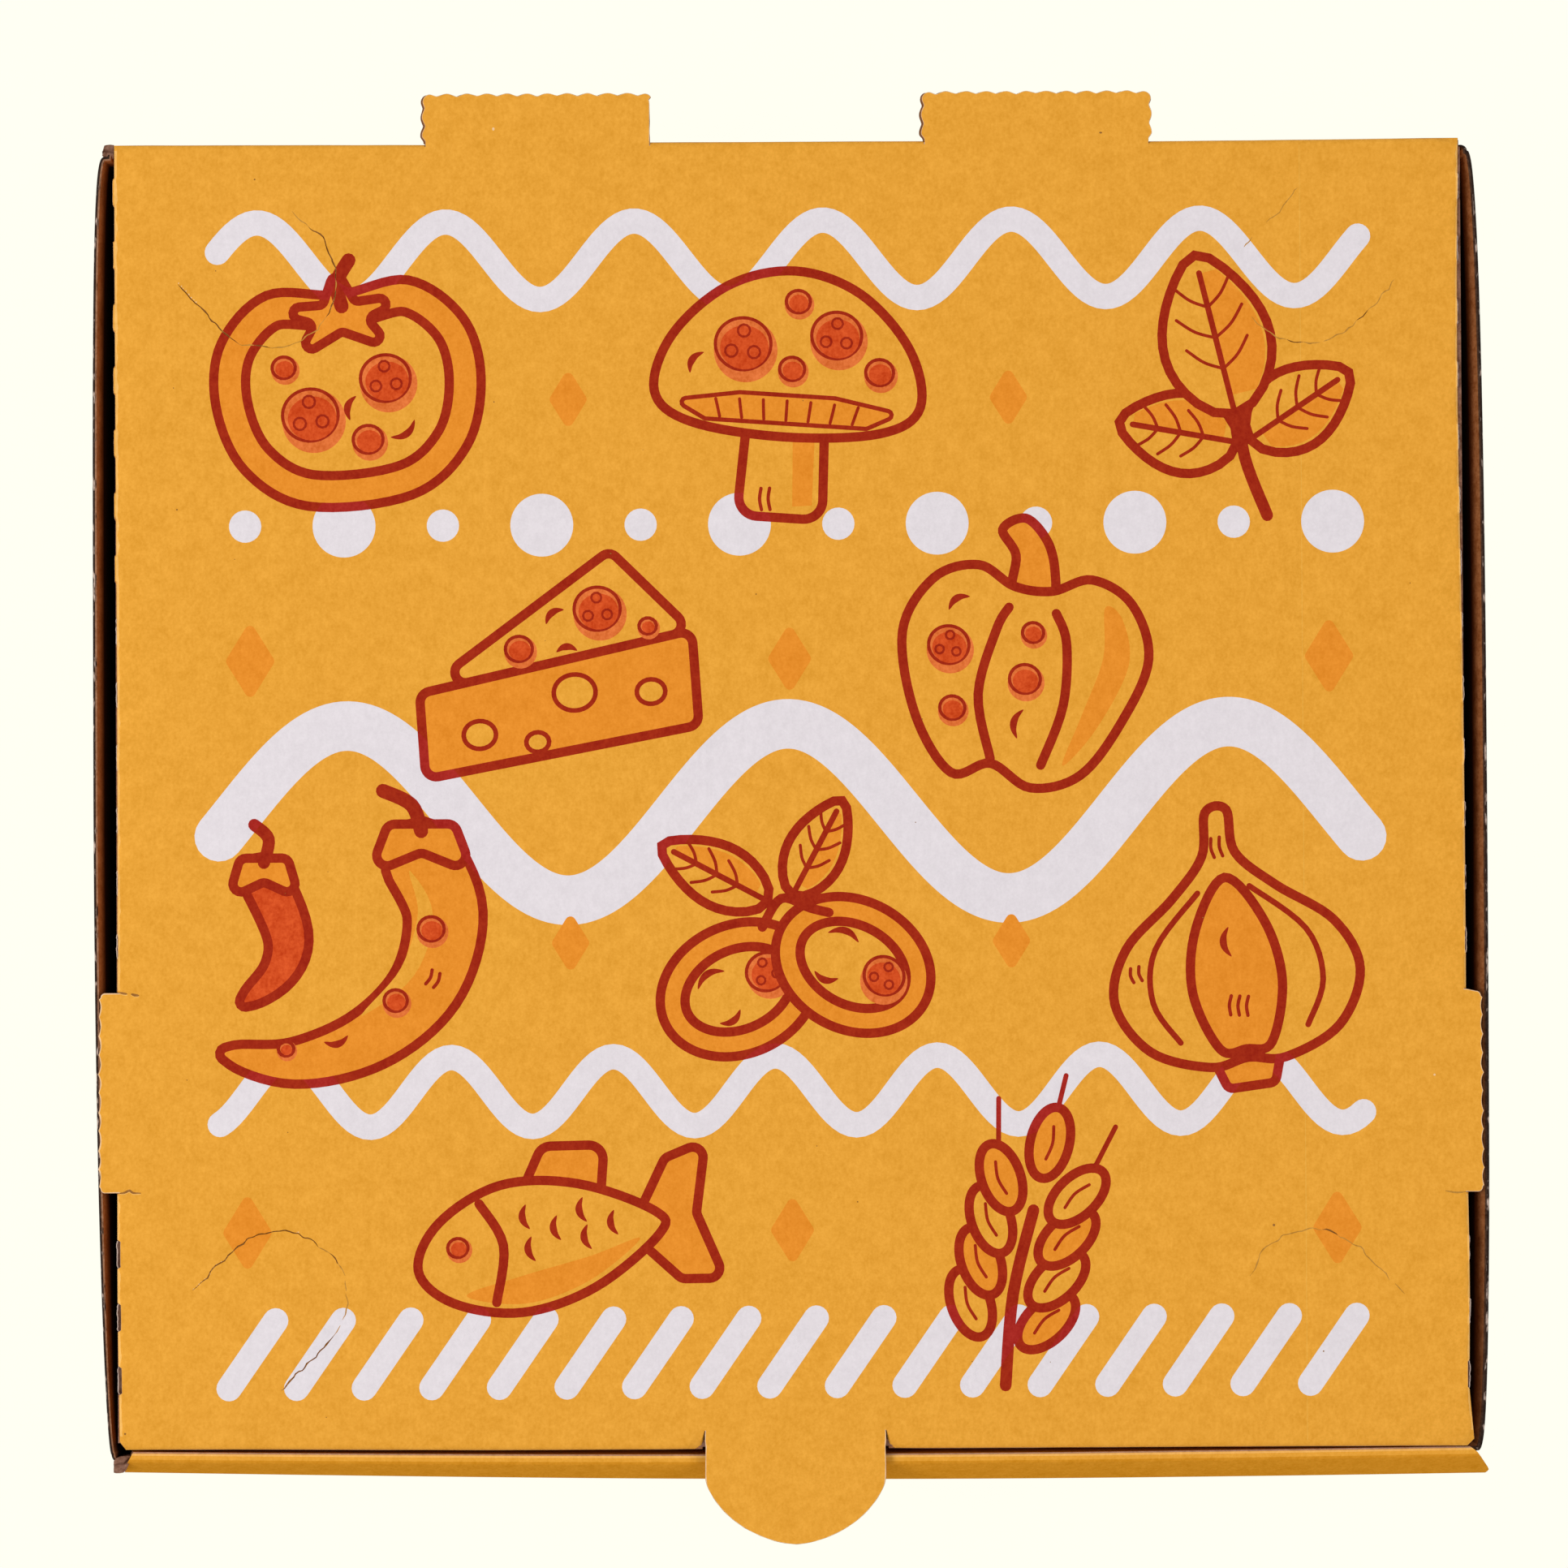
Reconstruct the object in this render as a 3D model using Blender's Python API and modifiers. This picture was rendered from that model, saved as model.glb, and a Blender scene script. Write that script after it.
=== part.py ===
"""A shut pizza box, folded from one sheet of corrugated board.

Run it with blender --background --python part.py, or from Blender's text editor.
Metres, +Z up. The origin is on the underside, below the middle of the lid, and the thumb tab faces -Y.
The box is shut and can't be seen into, so it is one solid: its panels are joined to a solid middle.
"""

import math

import bmesh
import bpy

MM = 0.001

# Driving dimensions of the box
LID_WIDTH = 300 * MM
LID_DEPTH = 290 * MM
HEIGHT = 42 * MM
BOARD = 1.5 * MM
JOIN = 0.6 * MM  # how far joined shapes reach into each other
LAP_GAP = 0.3 * MM  # air left between the lid's tabs and the walls that they lie on

# Bottom and walls
TRAY_HALF_WIDTH = 152.25 * MM
WALL_TOP_HALF_WIDTH = 151.7 * MM  # at the corners, where the walls lean in a little
WALL_BOW = 3.5 * MM  # how far the top of a side wall bulges at its middle
WALL_STEPS = 40
CORNER_RADIUS = 2.2 * MM
CORNER_STEPS = 5
FLAP_REACH = 6 * MM  # how far a corner flap runs behind the front or rear wall
FRONT_FACE = LID_DEPTH / 2 + 5.0 * MM
FRONT_WALL_THICKNESS = 3.8 * MM  # two layers of board, rolled over a corner flap
FRONT_WALL_SLANT = 4.1 * MM  # how much shorter its inner layer is at each end
FRONT_WALL_SHIFT = 1.5 * MM  # folded a little out of square, to the right
FRONT_ROLL_RADIUS = 2.2 * MM
BOTTOM_EDGE_RADIUS = 1.0 * MM
FLAP_GAP = 0.3 * MM  # the lid's front and side flaps hang this far inside its edges
FOLD_GAP = 0.1 * MM  # between the outer faces of panels that lie almost flush

# Tabs of the lid
THUMB_HALF_WIDTH = 20.2 * MM
THUMB_STRAIGHT = 6.3 * MM  # of the tab's sides, from the fold
THUMB_ROUND = 15.4 * MM  # how far the round end reaches past the straight sides
THUMB_POWER = 1.5  # under 2, so that the end is a little pointed
THUMB_STEPS = 36
SLIT_WIDTH = 0.7 * MM
SLIT_LENGTH = 3.6 * MM
REAR_TAB_CENTRE = 55.6 * MM
REAR_TAB_WIDTH = 50 * MM
REAR_TAB_REACH = 11.4 * MM
SIDE_TAB_FRONT = 56.9 * MM  # from the front fold to the side tab's near end
SIDE_TAB_LENGTH = 44.5 * MM
SIDE_TAB_REACH = 4.0 * MM
LID_CHAMFER = 1.8 * MM

# Edges cut with a waved knife, and folds that are part cut
WAVE_PITCH = 4.4 * MM
WAVE_DEPTH = 0.75 * MM
WAVE_STEPS = 6
TAB_RADIUS = 1.8 * MM
SLOT_PITCH = 14 * MM
SLOT_SHARE = 0.47
SLOT_PROUD = 0.45 * MM
SLOT_RAMP = 0.5 * MM

BOARD_COLOUR = (0.82, 0.38, 0.05, 1.0)
BOARD_ROUGHNESS = 0.75

LID_UNDERSIDE = HEIGHT - BOARD
WALL_TOP = LID_UNDERSIDE - LAP_GAP
WALL_FOOT = 0.3 * MM
FRONT_FOLD = -LID_DEPTH / 2
REAR_FOLD = LID_DEPTH / 2


def clear_scene():
    for obj in list(bpy.data.objects):
        bpy.data.objects.remove(obj)


def collection_named(name):
    collection = bpy.data.collections.new(name)
    bpy.context.scene.collection.children.link(collection)
    return collection


def board_material():
    material = bpy.data.materials.new("printed_board")
    material.use_nodes = True
    shader = material.node_tree.nodes["Principled BSDF"]
    shader.inputs["Base Color"].default_value = BOARD_COLOUR
    shader.inputs["Roughness"].default_value = BOARD_ROUGHNESS
    shader.inputs["Metallic"].default_value = 0.0
    return material


def object_from(name, mesh_builder, collection):
    """A new object with the mesh that a bmesh holds."""
    mesh = bpy.data.meshes.new(name)
    mesh_builder.to_mesh(mesh)
    mesh_builder.free()
    obj = bpy.data.objects.new(name, mesh)
    collection.objects.link(obj)
    return obj


def block(name, low, high, collection, bevel_edges=None, radius=0.0, segments=1):
    """A box between two corners. bevel_edges(edge) picks the edges to round."""
    builder = bmesh.new()
    bmesh.ops.create_cube(builder, size=1.0)
    for vertex in builder.verts:
        share = [coordinate + 0.5 for coordinate in vertex.co]
        vertex.co = [a + (b - a) * s for a, b, s in zip(low, high, share)]
    if bevel_edges:
        edges = [edge for edge in builder.edges if bevel_edges(edge)]
        bmesh.ops.bevel(builder, geom=edges, offset=radius, segments=segments, profile=0.5, affect="EDGES")
    return object_from(name, builder, collection)


def waved(start, end, sharp_peaks=False):
    """Points after start, up to end, along a waved cut that stands out to the right of the way walked.
    Its bumps are round with sharp dips between them, or with sharp_peaks the other way round."""
    length = math.dist(start, end)
    along = ((end[0] - start[0]) / length, (end[1] - start[1]) / length)
    outward = (along[1], -along[0])
    steps = max(1, round(length / WAVE_PITCH)) * WAVE_STEPS
    points = []
    for step in range(1, steps + 1):
        way = length * step / steps
        arch = abs(math.sin(math.pi * step / WAVE_STEPS))
        bump = WAVE_DEPTH * (1 - arch if sharp_peaks and step < steps else arch)
        points.append(tuple(start[i] + along[i] * way + outward[i] * bump for i in range(2)))
    return points


def tab_corner(centre, start_degrees):
    """Points of a quarter round at a tab's corner, anticlockwise from start_degrees."""
    points = []
    for step in range(CORNER_STEPS + 1):
        angle = math.radians(start_degrees + 90 * step / CORNER_STEPS)
        points.append((centre[0] + TAB_RADIUS * math.cos(angle), centre[1] + TAB_RADIUS * math.sin(angle)))
    return points


def part_cut_fold(x, start_y, end_y):
    """Points of the right-hand fold from start_y to end_y. The lid's edge stands proud where it is cut."""
    points = [(x, start_y)]
    count = int((end_y - start_y) / SLOT_PITCH)
    margin = (end_y - start_y - count * SLOT_PITCH) / 2
    for slot in range(count):
        near = start_y + margin + SLOT_PITCH * (slot + (1 - SLOT_SHARE) / 2)
        far = near + SLOT_PITCH * SLOT_SHARE
        points += [(x, near), (x + SLOT_PROUD, near + SLOT_RAMP), (x + SLOT_PROUD, far - SLOT_RAMP), (x, far)]
    return points + [(x, end_y)]


def thumb_tab():
    """Points of the front tab from its left slit to its right slit. Its end is a superellipse."""
    points = [(-THUMB_HALF_WIDTH, FRONT_FOLD + SLIT_LENGTH)]
    for step in range(THUMB_STEPS + 1):
        angle = math.pi * step / THUMB_STEPS
        across = -math.copysign(abs(math.cos(angle)) ** (2 / THUMB_POWER), math.cos(angle))
        reach = math.sin(angle) ** (2 / THUMB_POWER)
        points.append((THUMB_HALF_WIDTH * across, FRONT_FOLD - THUMB_STRAIGHT - THUMB_ROUND * reach))
    return points + [(THUMB_HALF_WIDTH, FRONT_FOLD + SLIT_LENGTH)]


def right_edge():
    """Points of the lid's right side from the front corner to the rear corner, with its side tab."""
    x = LID_WIDTH / 2
    near = FRONT_FOLD + SIDE_TAB_FRONT
    far = near + SIDE_TAB_LENGTH
    tab_x = x + SIDE_TAB_REACH - WAVE_DEPTH
    points = [(x - LID_CHAMFER, FRONT_FOLD)]
    points += part_cut_fold(x, FRONT_FOLD + LID_CHAMFER, near)
    points += tab_corner((tab_x - TAB_RADIUS, near + TAB_RADIUS), -90)
    points += waved((tab_x, near + TAB_RADIUS), (tab_x, far - TAB_RADIUS), sharp_peaks=True)
    points += tab_corner((tab_x - TAB_RADIUS, far - TAB_RADIUS), 0)[1:]
    return points + part_cut_fold(x, far, REAR_FOLD)


def rear_tab(right, left, left_side_waved):
    """Points of a rear tab between two places along the fold, walked from right to left."""
    far = REAR_FOLD + REAR_TAB_REACH - WAVE_DEPTH
    straight = far - TAB_RADIUS
    points = [(right, REAR_FOLD)] + waved((right, REAR_FOLD), (right, straight))
    points += tab_corner((right - TAB_RADIUS, straight), 0)[1:]
    points += waved((right - TAB_RADIUS, far), (left + TAB_RADIUS, far))
    points += tab_corner((left + TAB_RADIUS, straight), 90)[1:]
    return points + (waved((left, straight), (left, REAR_FOLD)) if left_side_waved else [(left, REAR_FOLD)])


def rear_edge():
    """Points of the hinge fold and its two tabs, from right to left. One side of the left tab is straight."""
    half = REAR_TAB_WIDTH / 2
    right_tab = rear_tab(REAR_TAB_CENTRE + half, REAR_TAB_CENTRE - half, True)
    left_tab = rear_tab(REAR_TAB_CENTRE + half, REAR_TAB_CENTRE - half, False)
    return right_tab + [(-x, y) for x, y in reversed(left_tab)]


def lid_outline():
    """The lid's outline from above, anticlockwise, with its five tabs."""
    slit_x = -THUMB_HALF_WIDTH - SLIT_WIDTH
    left_slit = [(slit_x, FRONT_FOLD), (slit_x, FRONT_FOLD + SLIT_LENGTH)]
    right_slit = [(-x, y) for x, y in reversed(left_slit)]
    right = right_edge()
    left = [(-x, y) for x, y in reversed(right)]
    return left_slit + thumb_tab() + right_slit + right + rear_edge() + left


def flat_shape(name, outline, underside, thickness, collection):
    """A flat sheet of even thickness, cut to an outline."""
    curve = bpy.data.curves.new(name, "CURVE")
    curve.dimensions = "2D"
    curve.fill_mode = "BOTH"
    curve.extrude = thickness / 2
    spline = curve.splines.new("POLY")
    spline.points.add(len(outline) - 1)
    for point, (x, y) in zip(spline.points, outline):
        point.co = (x, y, 0.0, 1.0)
    spline.use_cyclic_u = True
    guide = bpy.data.objects.new(name + "_outline", curve)
    guide.location.z = underside + thickness / 2
    collection.objects.link(guide)
    bpy.context.view_layer.update()
    mesh = bpy.data.meshes.new_from_object(guide.evaluated_get(bpy.context.evaluated_depsgraph_get()))
    builder = bmesh.new()
    builder.from_mesh(mesh)
    bmesh.ops.remove_doubles(builder, verts=builder.verts, dist=0.00001)
    bmesh.ops.recalc_face_normals(builder, faces=builder.faces)
    sheet = object_from(name, builder, collection)
    sheet.matrix_world = guide.matrix_world
    bpy.data.objects.remove(guide)
    return sheet


def wall_path(corner_half_width, bow):
    """Plan points of the right wall's outer face, from the end of its front flap to that of its rear flap."""
    near = -FRONT_FACE + BOARD + FOLD_GAP
    far = REAR_FOLD - JOIN
    flap_end = LID_WIDTH / 2 - FLAP_REACH
    centre_x = corner_half_width - CORNER_RADIUS
    turn = [math.pi / 2 * step / CORNER_STEPS for step in range(CORNER_STEPS + 1)]
    front = [
        (centre_x + CORNER_RADIUS * math.sin(a), near + CORNER_RADIUS * (1 - math.cos(a))) for a in turn
    ]
    rear = [
        (centre_x + CORNER_RADIUS * math.cos(a), far - CORNER_RADIUS * (1 - math.sin(a))) for a in turn
    ]
    side = []
    for step in range(1, WALL_STEPS):
        share = (1 - math.cos(math.pi * step / WALL_STEPS)) / 2
        y = front[-1][1] + (rear[0][1] - front[-1][1]) * share
        bulge = bow * math.sqrt(1 - (2 * share - 1) ** 2)
        side.append((corner_half_width + bulge, y))
    return [(flap_end, near)] + front + side + rear + [(flap_end, far)]


def side_wall(name, side, collection):
    """One side wall with its corner flaps, from its straight foot to its bulging top. side is 1 or -1."""
    builder = bmesh.new()
    rows = []
    for z, path in (
        (WALL_FOOT, wall_path(TRAY_HALF_WIDTH, 0.0)),
        (WALL_TOP, wall_path(WALL_TOP_HALF_WIDTH, WALL_BOW)),
    ):
        rows.append([builder.verts.new((side * x, y, z)) for x, y in path])
    foot, top = rows
    for i in range(len(foot) - 1):
        corners = [foot[i], foot[i + 1], top[i + 1], top[i]]
        builder.faces.new(corners if side > 0 else corners[::-1])
    wall = object_from(name, builder, collection)
    solidify = wall.modifiers.new("board thickness", "SOLIDIFY")
    solidify.thickness = BOARD
    solidify.offset = -1.0
    solidify.use_even_offset = True
    return wall


def front_wall(collection):
    """The rolled-over front wall. Its upper edge is round, and its ends slant: the inner layer is shorter."""
    inner_face = -FRONT_FACE + FRONT_WALL_THICKNESS
    low = (-TRAY_HALF_WIDTH, -FRONT_FACE, WALL_FOOT)
    high = (TRAY_HALF_WIDTH, inner_face, WALL_TOP)

    def upper_front(edge):
        return all(vertex.co.z > HEIGHT / 2 and vertex.co.y < inner_face - JOIN for vertex in edge.verts)

    wall = block("front_wall", low, high, collection, upper_front, FRONT_ROLL_RADIUS, CORNER_STEPS)
    for vertex in wall.data.vertices:
        depth_share = (vertex.co.y + FRONT_FACE) / FRONT_WALL_THICKNESS
        height_share = vertex.co.z / WALL_TOP
        vertex.co.x -= math.copysign(FRONT_WALL_SLANT * depth_share, vertex.co.x)
        vertex.co.x += FRONT_WALL_SHIFT * height_share
    return wall


def bottom(collection):
    """The bottom panel, with rounded lower edges where the walls fold up."""
    inset = JOIN / 2
    low = (-TRAY_HALF_WIDTH + inset, -FRONT_FACE + inset, 0.0)
    high = (TRAY_HALF_WIDTH - inset, REAR_FOLD - inset, BOARD + JOIN)

    def lower(edge):
        return all(vertex.co.z < JOIN for vertex in edge.verts)

    return block("bottom", low, high, collection, lower, BOTTOM_EDGE_RADIUS, 3)


def middle(collection):
    """The solid middle. Its sides are the outer faces of the lid's flaps, and its back is the rear wall."""
    half_width = LID_WIDTH / 2 - FLAP_GAP
    low = (-half_width, FRONT_FOLD + FLAP_GAP, JOIN)
    high = (half_width, REAR_FOLD - FOLD_GAP, LID_UNDERSIDE + JOIN)
    return block("pizza_box", low, high, collection)


def rear_cut_outs(collection):
    """Cutters for the holes that the rear tabs leave in the rear wall, down to the corner flaps behind it."""
    depth = BOARD + FLAP_GAP
    for side in (-1, 1):
        centre = side * REAR_TAB_CENTRE
        low = (centre - REAR_TAB_WIDTH / 2, REAR_FOLD - depth, HEIGHT - REAR_TAB_REACH)
        high = (centre + REAR_TAB_WIDTH / 2, REAR_FOLD + depth, LID_UNDERSIDE)
        block(f"rear_cut_out_{'left' if side < 0 else 'right'}", low, high, collection)


def mark_as_helper(obj):
    obj.hide_render = True
    obj.display_type = "WIRE"


def join(base, collection, operation):
    """A Boolean of base with every object of a collection."""
    modifier = base.modifiers.new(operation.lower(), "BOOLEAN")
    modifier.operation = operation
    modifier.operand_type = "COLLECTION"
    modifier.collection = collection
    modifier.solver = "EXACT"


def build():
    clear_scene()
    box_parts = collection_named("pizza_box")
    panels = collection_named("joined_panels")
    cutters = collection_named("cutters")
    box = middle(box_parts)
    flat_shape("lid", lid_outline(), LID_UNDERSIDE, BOARD, panels)
    side_wall("wall_left", -1, panels)
    side_wall("wall_right", 1, panels)
    front_wall(panels)
    bottom(panels)
    rear_cut_outs(cutters)
    for helper in list(panels.objects) + list(cutters.objects):
        mark_as_helper(helper)
    join(box, cutters, "DIFFERENCE")
    join(box, panels, "UNION")
    box.data.materials.append(board_material())


build()
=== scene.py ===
"""The looks of a shut pizza box of printed corrugated board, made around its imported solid.

Lengths are millimetres in the part's frame: +X to the right, +Y to the rear with the hinge, +Z up.
MM turns them into metres where meshes, lights and the camera are made. What differs between the two sides is
kept by side, -1 for the left one and 1 for the right one.
"""

import math
import random

import bpy
from mathutils import Euler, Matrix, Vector, noise
from mathutils.geometry import delaunay_2d_cdt


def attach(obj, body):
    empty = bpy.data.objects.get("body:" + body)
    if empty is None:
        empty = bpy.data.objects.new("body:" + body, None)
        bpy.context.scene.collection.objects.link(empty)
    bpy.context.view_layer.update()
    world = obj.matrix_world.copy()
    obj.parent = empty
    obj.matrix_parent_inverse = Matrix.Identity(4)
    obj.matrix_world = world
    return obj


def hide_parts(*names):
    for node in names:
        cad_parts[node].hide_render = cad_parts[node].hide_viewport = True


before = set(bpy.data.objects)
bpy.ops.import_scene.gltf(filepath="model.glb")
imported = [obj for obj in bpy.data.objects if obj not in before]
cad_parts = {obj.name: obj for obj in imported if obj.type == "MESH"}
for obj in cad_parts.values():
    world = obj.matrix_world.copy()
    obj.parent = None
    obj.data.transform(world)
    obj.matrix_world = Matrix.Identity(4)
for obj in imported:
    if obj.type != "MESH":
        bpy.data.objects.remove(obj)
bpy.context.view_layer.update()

MM = 0.001
SIDES = {-1: "left", 1: "right"}

# Lid
LID_HALF_WIDTH = 150.0
LID_HALF_DEPTH = 145.0
FRONT = -LID_HALF_DEPTH
REAR = LID_HALF_DEPTH
LID_TOP = 42.0
BOARD = 1.5
LINER = 0.25  # thickness of the paper on each face of the board
FRAY = 0.12  # how far the lower paper of a cut edge stands out past its print
EDGE_PAPER = 0.24  # width of the bare paper along a cut edge
WORN_WIDTH = {-1: 0.62, 1: 0.42}  # of the strip along a side fold where the print has cracked
FOLD_RADIUS = 1.2
CHAMFER = {-1: 1.8, 1: 1.0}
LID_SAG = 0.45
LID_RIPPLE = 0.12
THUMB_DROOP = 0.02  # for each millimetre in front of the lid
LATTICE = 7.5  # spacing of the extra points that carry the lid's sag
LID_PULLS = {  # how far a side is drawn in, at which y, and over how long a stretch
    -1: ((0.3, 10, 75), (0.4, FRONT, 20)),
    1: ((0.95, 98, 58), (-1.1, FRONT, 7), (-0.36, -109, 22)),
}
HINGE_RISE = 0.3  # of the hinge between the rear tabs
HINGE_ENDS = {-1: 0.16, 1: 0.32}  # how far it runs back at its ends
FRONT_SKEW = 0.48  # how much further forward the front edge is on the right

# Tabs and cuts in the lid
THUMB_HALF_WIDTH = 20.0
THUMB_CENTRE = 0.45
THUMB_STRAIGHT = 6.3
THUMB_ROUND = 15.4 - FRAY
THUMB_POWER = 1.72
THUMB_STEPS = 72
THUMB_SLIT = 3.6
THUMB_SLIT_WIDTH = 0.7
THUMB_SLIT_TOP = 0.2
THUMB_DIP = 0.9  # of the lid beside the tab's slits
REAR_TAB_CENTRE = 55.6
REAR_TAB_HALF_WIDTH = 25.0
REAR_TAB_REACH = 11.4 - FRAY
SIDE_TABS = {-1: (-88.1, -43.6), 1: (-89.2, -44.1)}  # y of the near and the far end
SIDE_TAB_REACH = {-1: 4.2, 1: 3.7}
SIDE_TAB_SLANT = {-1: 0.0, 1: 0.5}
SIDE_TAB_RADIUS = 1.0
TAB_RADIUS = 1.4
TAB_SLIT = 0.5
SLIT_HALF_WIDTH = 0.09
WAVE_PITCH = 4.4
WAVE_DEPTH = 0.75
WAVE_STEPS = 12
SIDE_WAVE_DEPTH = 0.55
SLOT_PITCH = 14.0
SLOT_LENGTH = 6.6
SLOT_RAMP = 0.5
PROUD_SLOT = 0.18
LOW_SLOT = -0.15
TORN_SLOT = -0.8
EAR_INSET = (34.5, 31.5)  # from the lid's edges to the centre of a corner cut
EAR_RADIUS = 15.0
EAR_START = -142  # degrees
EAR_STEPS = 24
EARS = (  # side, end, shift inwards and along y, end of the arc in degrees, both tails, depths along the cut
    (-1, 1, 0.0, 1.1, 53, 12.4, 5.0, (1.0, 0.8, 0.6, 0.55, 0.35, 0.6, 0.55, 0.65, 0.7, 0.4)),
    (1, 1, 0.0, 1.1, 50, 11.5, 11.5, (0.4, 0.55, 0.5, 0.45, 0.45, 0.35, 0.0, 0.0, 0.0, 0.2, 0.45)),
    (-1, -1, 1.5, 1.9, 30, 10.4, 18.0, (1.1, 1.0, 0.6, 0.8, 0.6, 0.3, 0.35, 0.7, 1.1)),
    (1, -1, 0.0, 1.2, 50, 12.0, 9.0, (0.3, 0.5, 0.45, 0.5, 0.35, 0.15, 0.0, 0.0, 0.0)),
)
CRACK_DEPTH = 0.24
CRACK_WIDTH = 0.42
FLUTE_PITCH = 3.2
FLUTE_PAPER = 0.16

# Tray
TRAY_HALF_WIDTH = 152.25
WALL_TOP_HALF_WIDTH = 151.7
WALL_TOP = 40.2
WALL_BOW = 3.5
WALL_STEPS = 90
WALL_FULLNESS = {-1: (1.75, 4.4), 1: (3.8, 2.45)}  # how boxy the bow is to the front and the rear
WALL_PAPERS = {-1: ("wall_edge", "wall_kraft"), 1: ("painted_shade_edge", "painted_shade_kraft")}  # top edge and inner face; the right wall's papers are darker copies of the left's, painted shade
WALL_LEAN = {-1: 1.0, 1: 1.35}  # how much further out the inner face lies, as a factor
WALL_REAR = {-1: 145.1, 1: 144.25}
CORNER_RADIUS = {-1: 2.2, 1: 1.5}
CORNER_STEPS = 8
CORNER_FLAP_END = 130.0
FLAP_TUCK = 2.6  # how far a rear corner flap's end lies inside, behind the rear wall
FOOT_RADIUS = 1.2
FRONT_FACE = -150.0
ROLL_RADIUS = 1.7
ROLL_TURN = 66  # degrees from the flat top of the rolled front wall to its leaning face
STRIP_REAR = -145.65  # y of the rolled wall's crease by the lid
STRIP_REAR_BOW = 1.15
STRIP_REAR_SKEW = 0.1
STRIP_FRONT = -151.5  # y of its outer face where it bulges most
STRIP_FRONT_BOW = 1.6
STRIP_FRONT_SKEW = 0.63
BULGE_HEIGHT = 29.0
FLAP_FOOT = 4.0
FLAP_STEPS = 40
FRONT_STEPS = 120

# Print
LINE = 2.1
THIN = 0.7
BAND = 5.0
WHITE_LINE = 5.6
WHITE_BROAD_LINE = 11.0
WHITE_HALF_WIDTH = 127.0  # of the white print
MOTIF_SIZE = 1.06
SEEDED = 4.0  # a red spot with a larger radius has seeds
ARC_STEP = 0.9

SHARP_EDGE = 35  # degrees between two faces

# Papers and inks: the material's name, its colour in sRGB bytes under the studio light, how far its mottles
# stray from that, and its other traits
# painted shade on the outer rim of the walls' top edge; also the colour of the dark flecks in the walls' cut
# edges
DARK_EDGE = (46, 30, 22)
TORN_EDGE = (92, 62, 46)
PALE_FLECK = (196, 172, 158)
PAINTED_GAP_SHADE = (30, 8, 2)  # painted shade on the walls' inner faces: full below the lower height, fading in from the upper one
GAP_SHADE_TOP = 39.9
GAP_SHADE_FOOT = 36.2
PRINTED = {"fluted": 0.4}
BARE = {"roughness": 0.9}
PAPERS = {
    "board": ("printed_board", (235, 164, 53), 9, PRINTED),
    "white": ("white_ink", (231, 223, 227), 5, PRINTED),
    "dark_red": ("dark_red_ink", (161, 35, 2), 10, PRINTED),
    "crimson": ("dark_red_ink_on_white", (168, 33, 24), 10, PRINTED),
    "orange": ("orange_ink", (235, 144, 38), 8, PRINTED),
    "spot_red": ("red_ink", (212, 74, 20), 16, PRINTED),
    "spot_glow": ("light_red_ink", (226, 112, 48), 16, PRINTED),
    "worn": ("worn_print", (246, 186, 96), 9, {}),
    "edge_pale": ("bare_paper_at_edge", (240, 198, 150), 12, {}),
    "crease": ("creased_print", (236, 172, 66), 7, {}),
    "crack": ("crack_in_board", (158, 104, 44), 20, {}),
    "faint_crack": ("faint_crack_in_print", (190, 134, 52), 14, {}),
    "speck": ("specks_in_paper", (150, 100, 40), 16, {}),
    "cut_paper": ("cut_paper", (196, 150, 116), 16, {}),
    # a darker copy of the printed board for the front wall's leaning face: painted shade
    "face": ("printed_board_with_painted_shade", (221, 147, 37), 9, {"matt": True}),
    "kraft": ("kraft_paper", (150, 98, 60), 12, {}),
    "kraft_edge": ("cut_kraft_edge", (132, 92, 72), 26, BARE),
    "wall_edge": ("cut_wall_edge", (150, 104, 74), 20, {**BARE, "fleck": DARK_EDGE}),
    # darker copies of the left wall's edge and kraft papers for the right wall: painted shade
    "painted_shade_edge": ("wall_edge_with_painted_shade", (70, 44, 28), 20, {**BARE, "fleck": DARK_EDGE}),
    "wall_kraft": ("kraft_of_wall", (150, 84, 38), 14, {**BARE, "paints_gap_shade": True}),
    "painted_shade_kraft": ("wall_kraft_with_painted_shade", (130, 76, 37), 18, {**BARE, "paints_gap_shade": True}),
    "dark_edge": ("shaded_cut_edge", DARK_EDGE, 14, {**BARE, "fleck": PALE_FLECK}),
    "torn_edge": ("torn_board", TORN_EDGE, 22, BARE),
    "pale_fleck": ("torn_paper", PALE_FLECK, 20, {**BARE, "fleck": TORN_EDGE}),
    # near black: painted shade deep in the gap beside the lid, not the kraft's own colour
    "deep_shade": ("painted_shade_deep_in_gap", (26, 13, 8), 6, {"roughness": 0.95}),
}

random.seed(12)


# Plane paths

def around(centre, angle, radius_x, radius_y=None):
    """The place at an angle in radians on a circle, or an ellipse, round a centre."""
    radius_y = radius_x if radius_y is None else radius_y
    return (centre[0] + radius_x * math.cos(angle), centre[1] + radius_y * math.sin(angle))


def arc(centre, radius_x, radius_y=None, start=0.0, end=360.0):
    """Points of an arc, anticlockwise where end is past start. A full turn leaves out its last point."""
    sweep = math.radians(end - start)
    steps = max(10, round(abs(sweep) * max(radius_x, radius_y or 0.0) / ARC_STEP))
    count = steps if abs(end - start) >= 360 else steps + 1
    return [around(centre, math.radians(start) + sweep * i / steps, radius_x, radius_y) for i in range(count)]


def turned(base, way, along, across, size=1.0):
    """The place along and across from a base, scaled by a size. way is the direction in radians."""
    cos, sin = math.cos(way) * size, math.sin(way) * size
    return (base[0] + along * cos - across * sin, base[1] + along * sin + across * cos)


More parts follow.
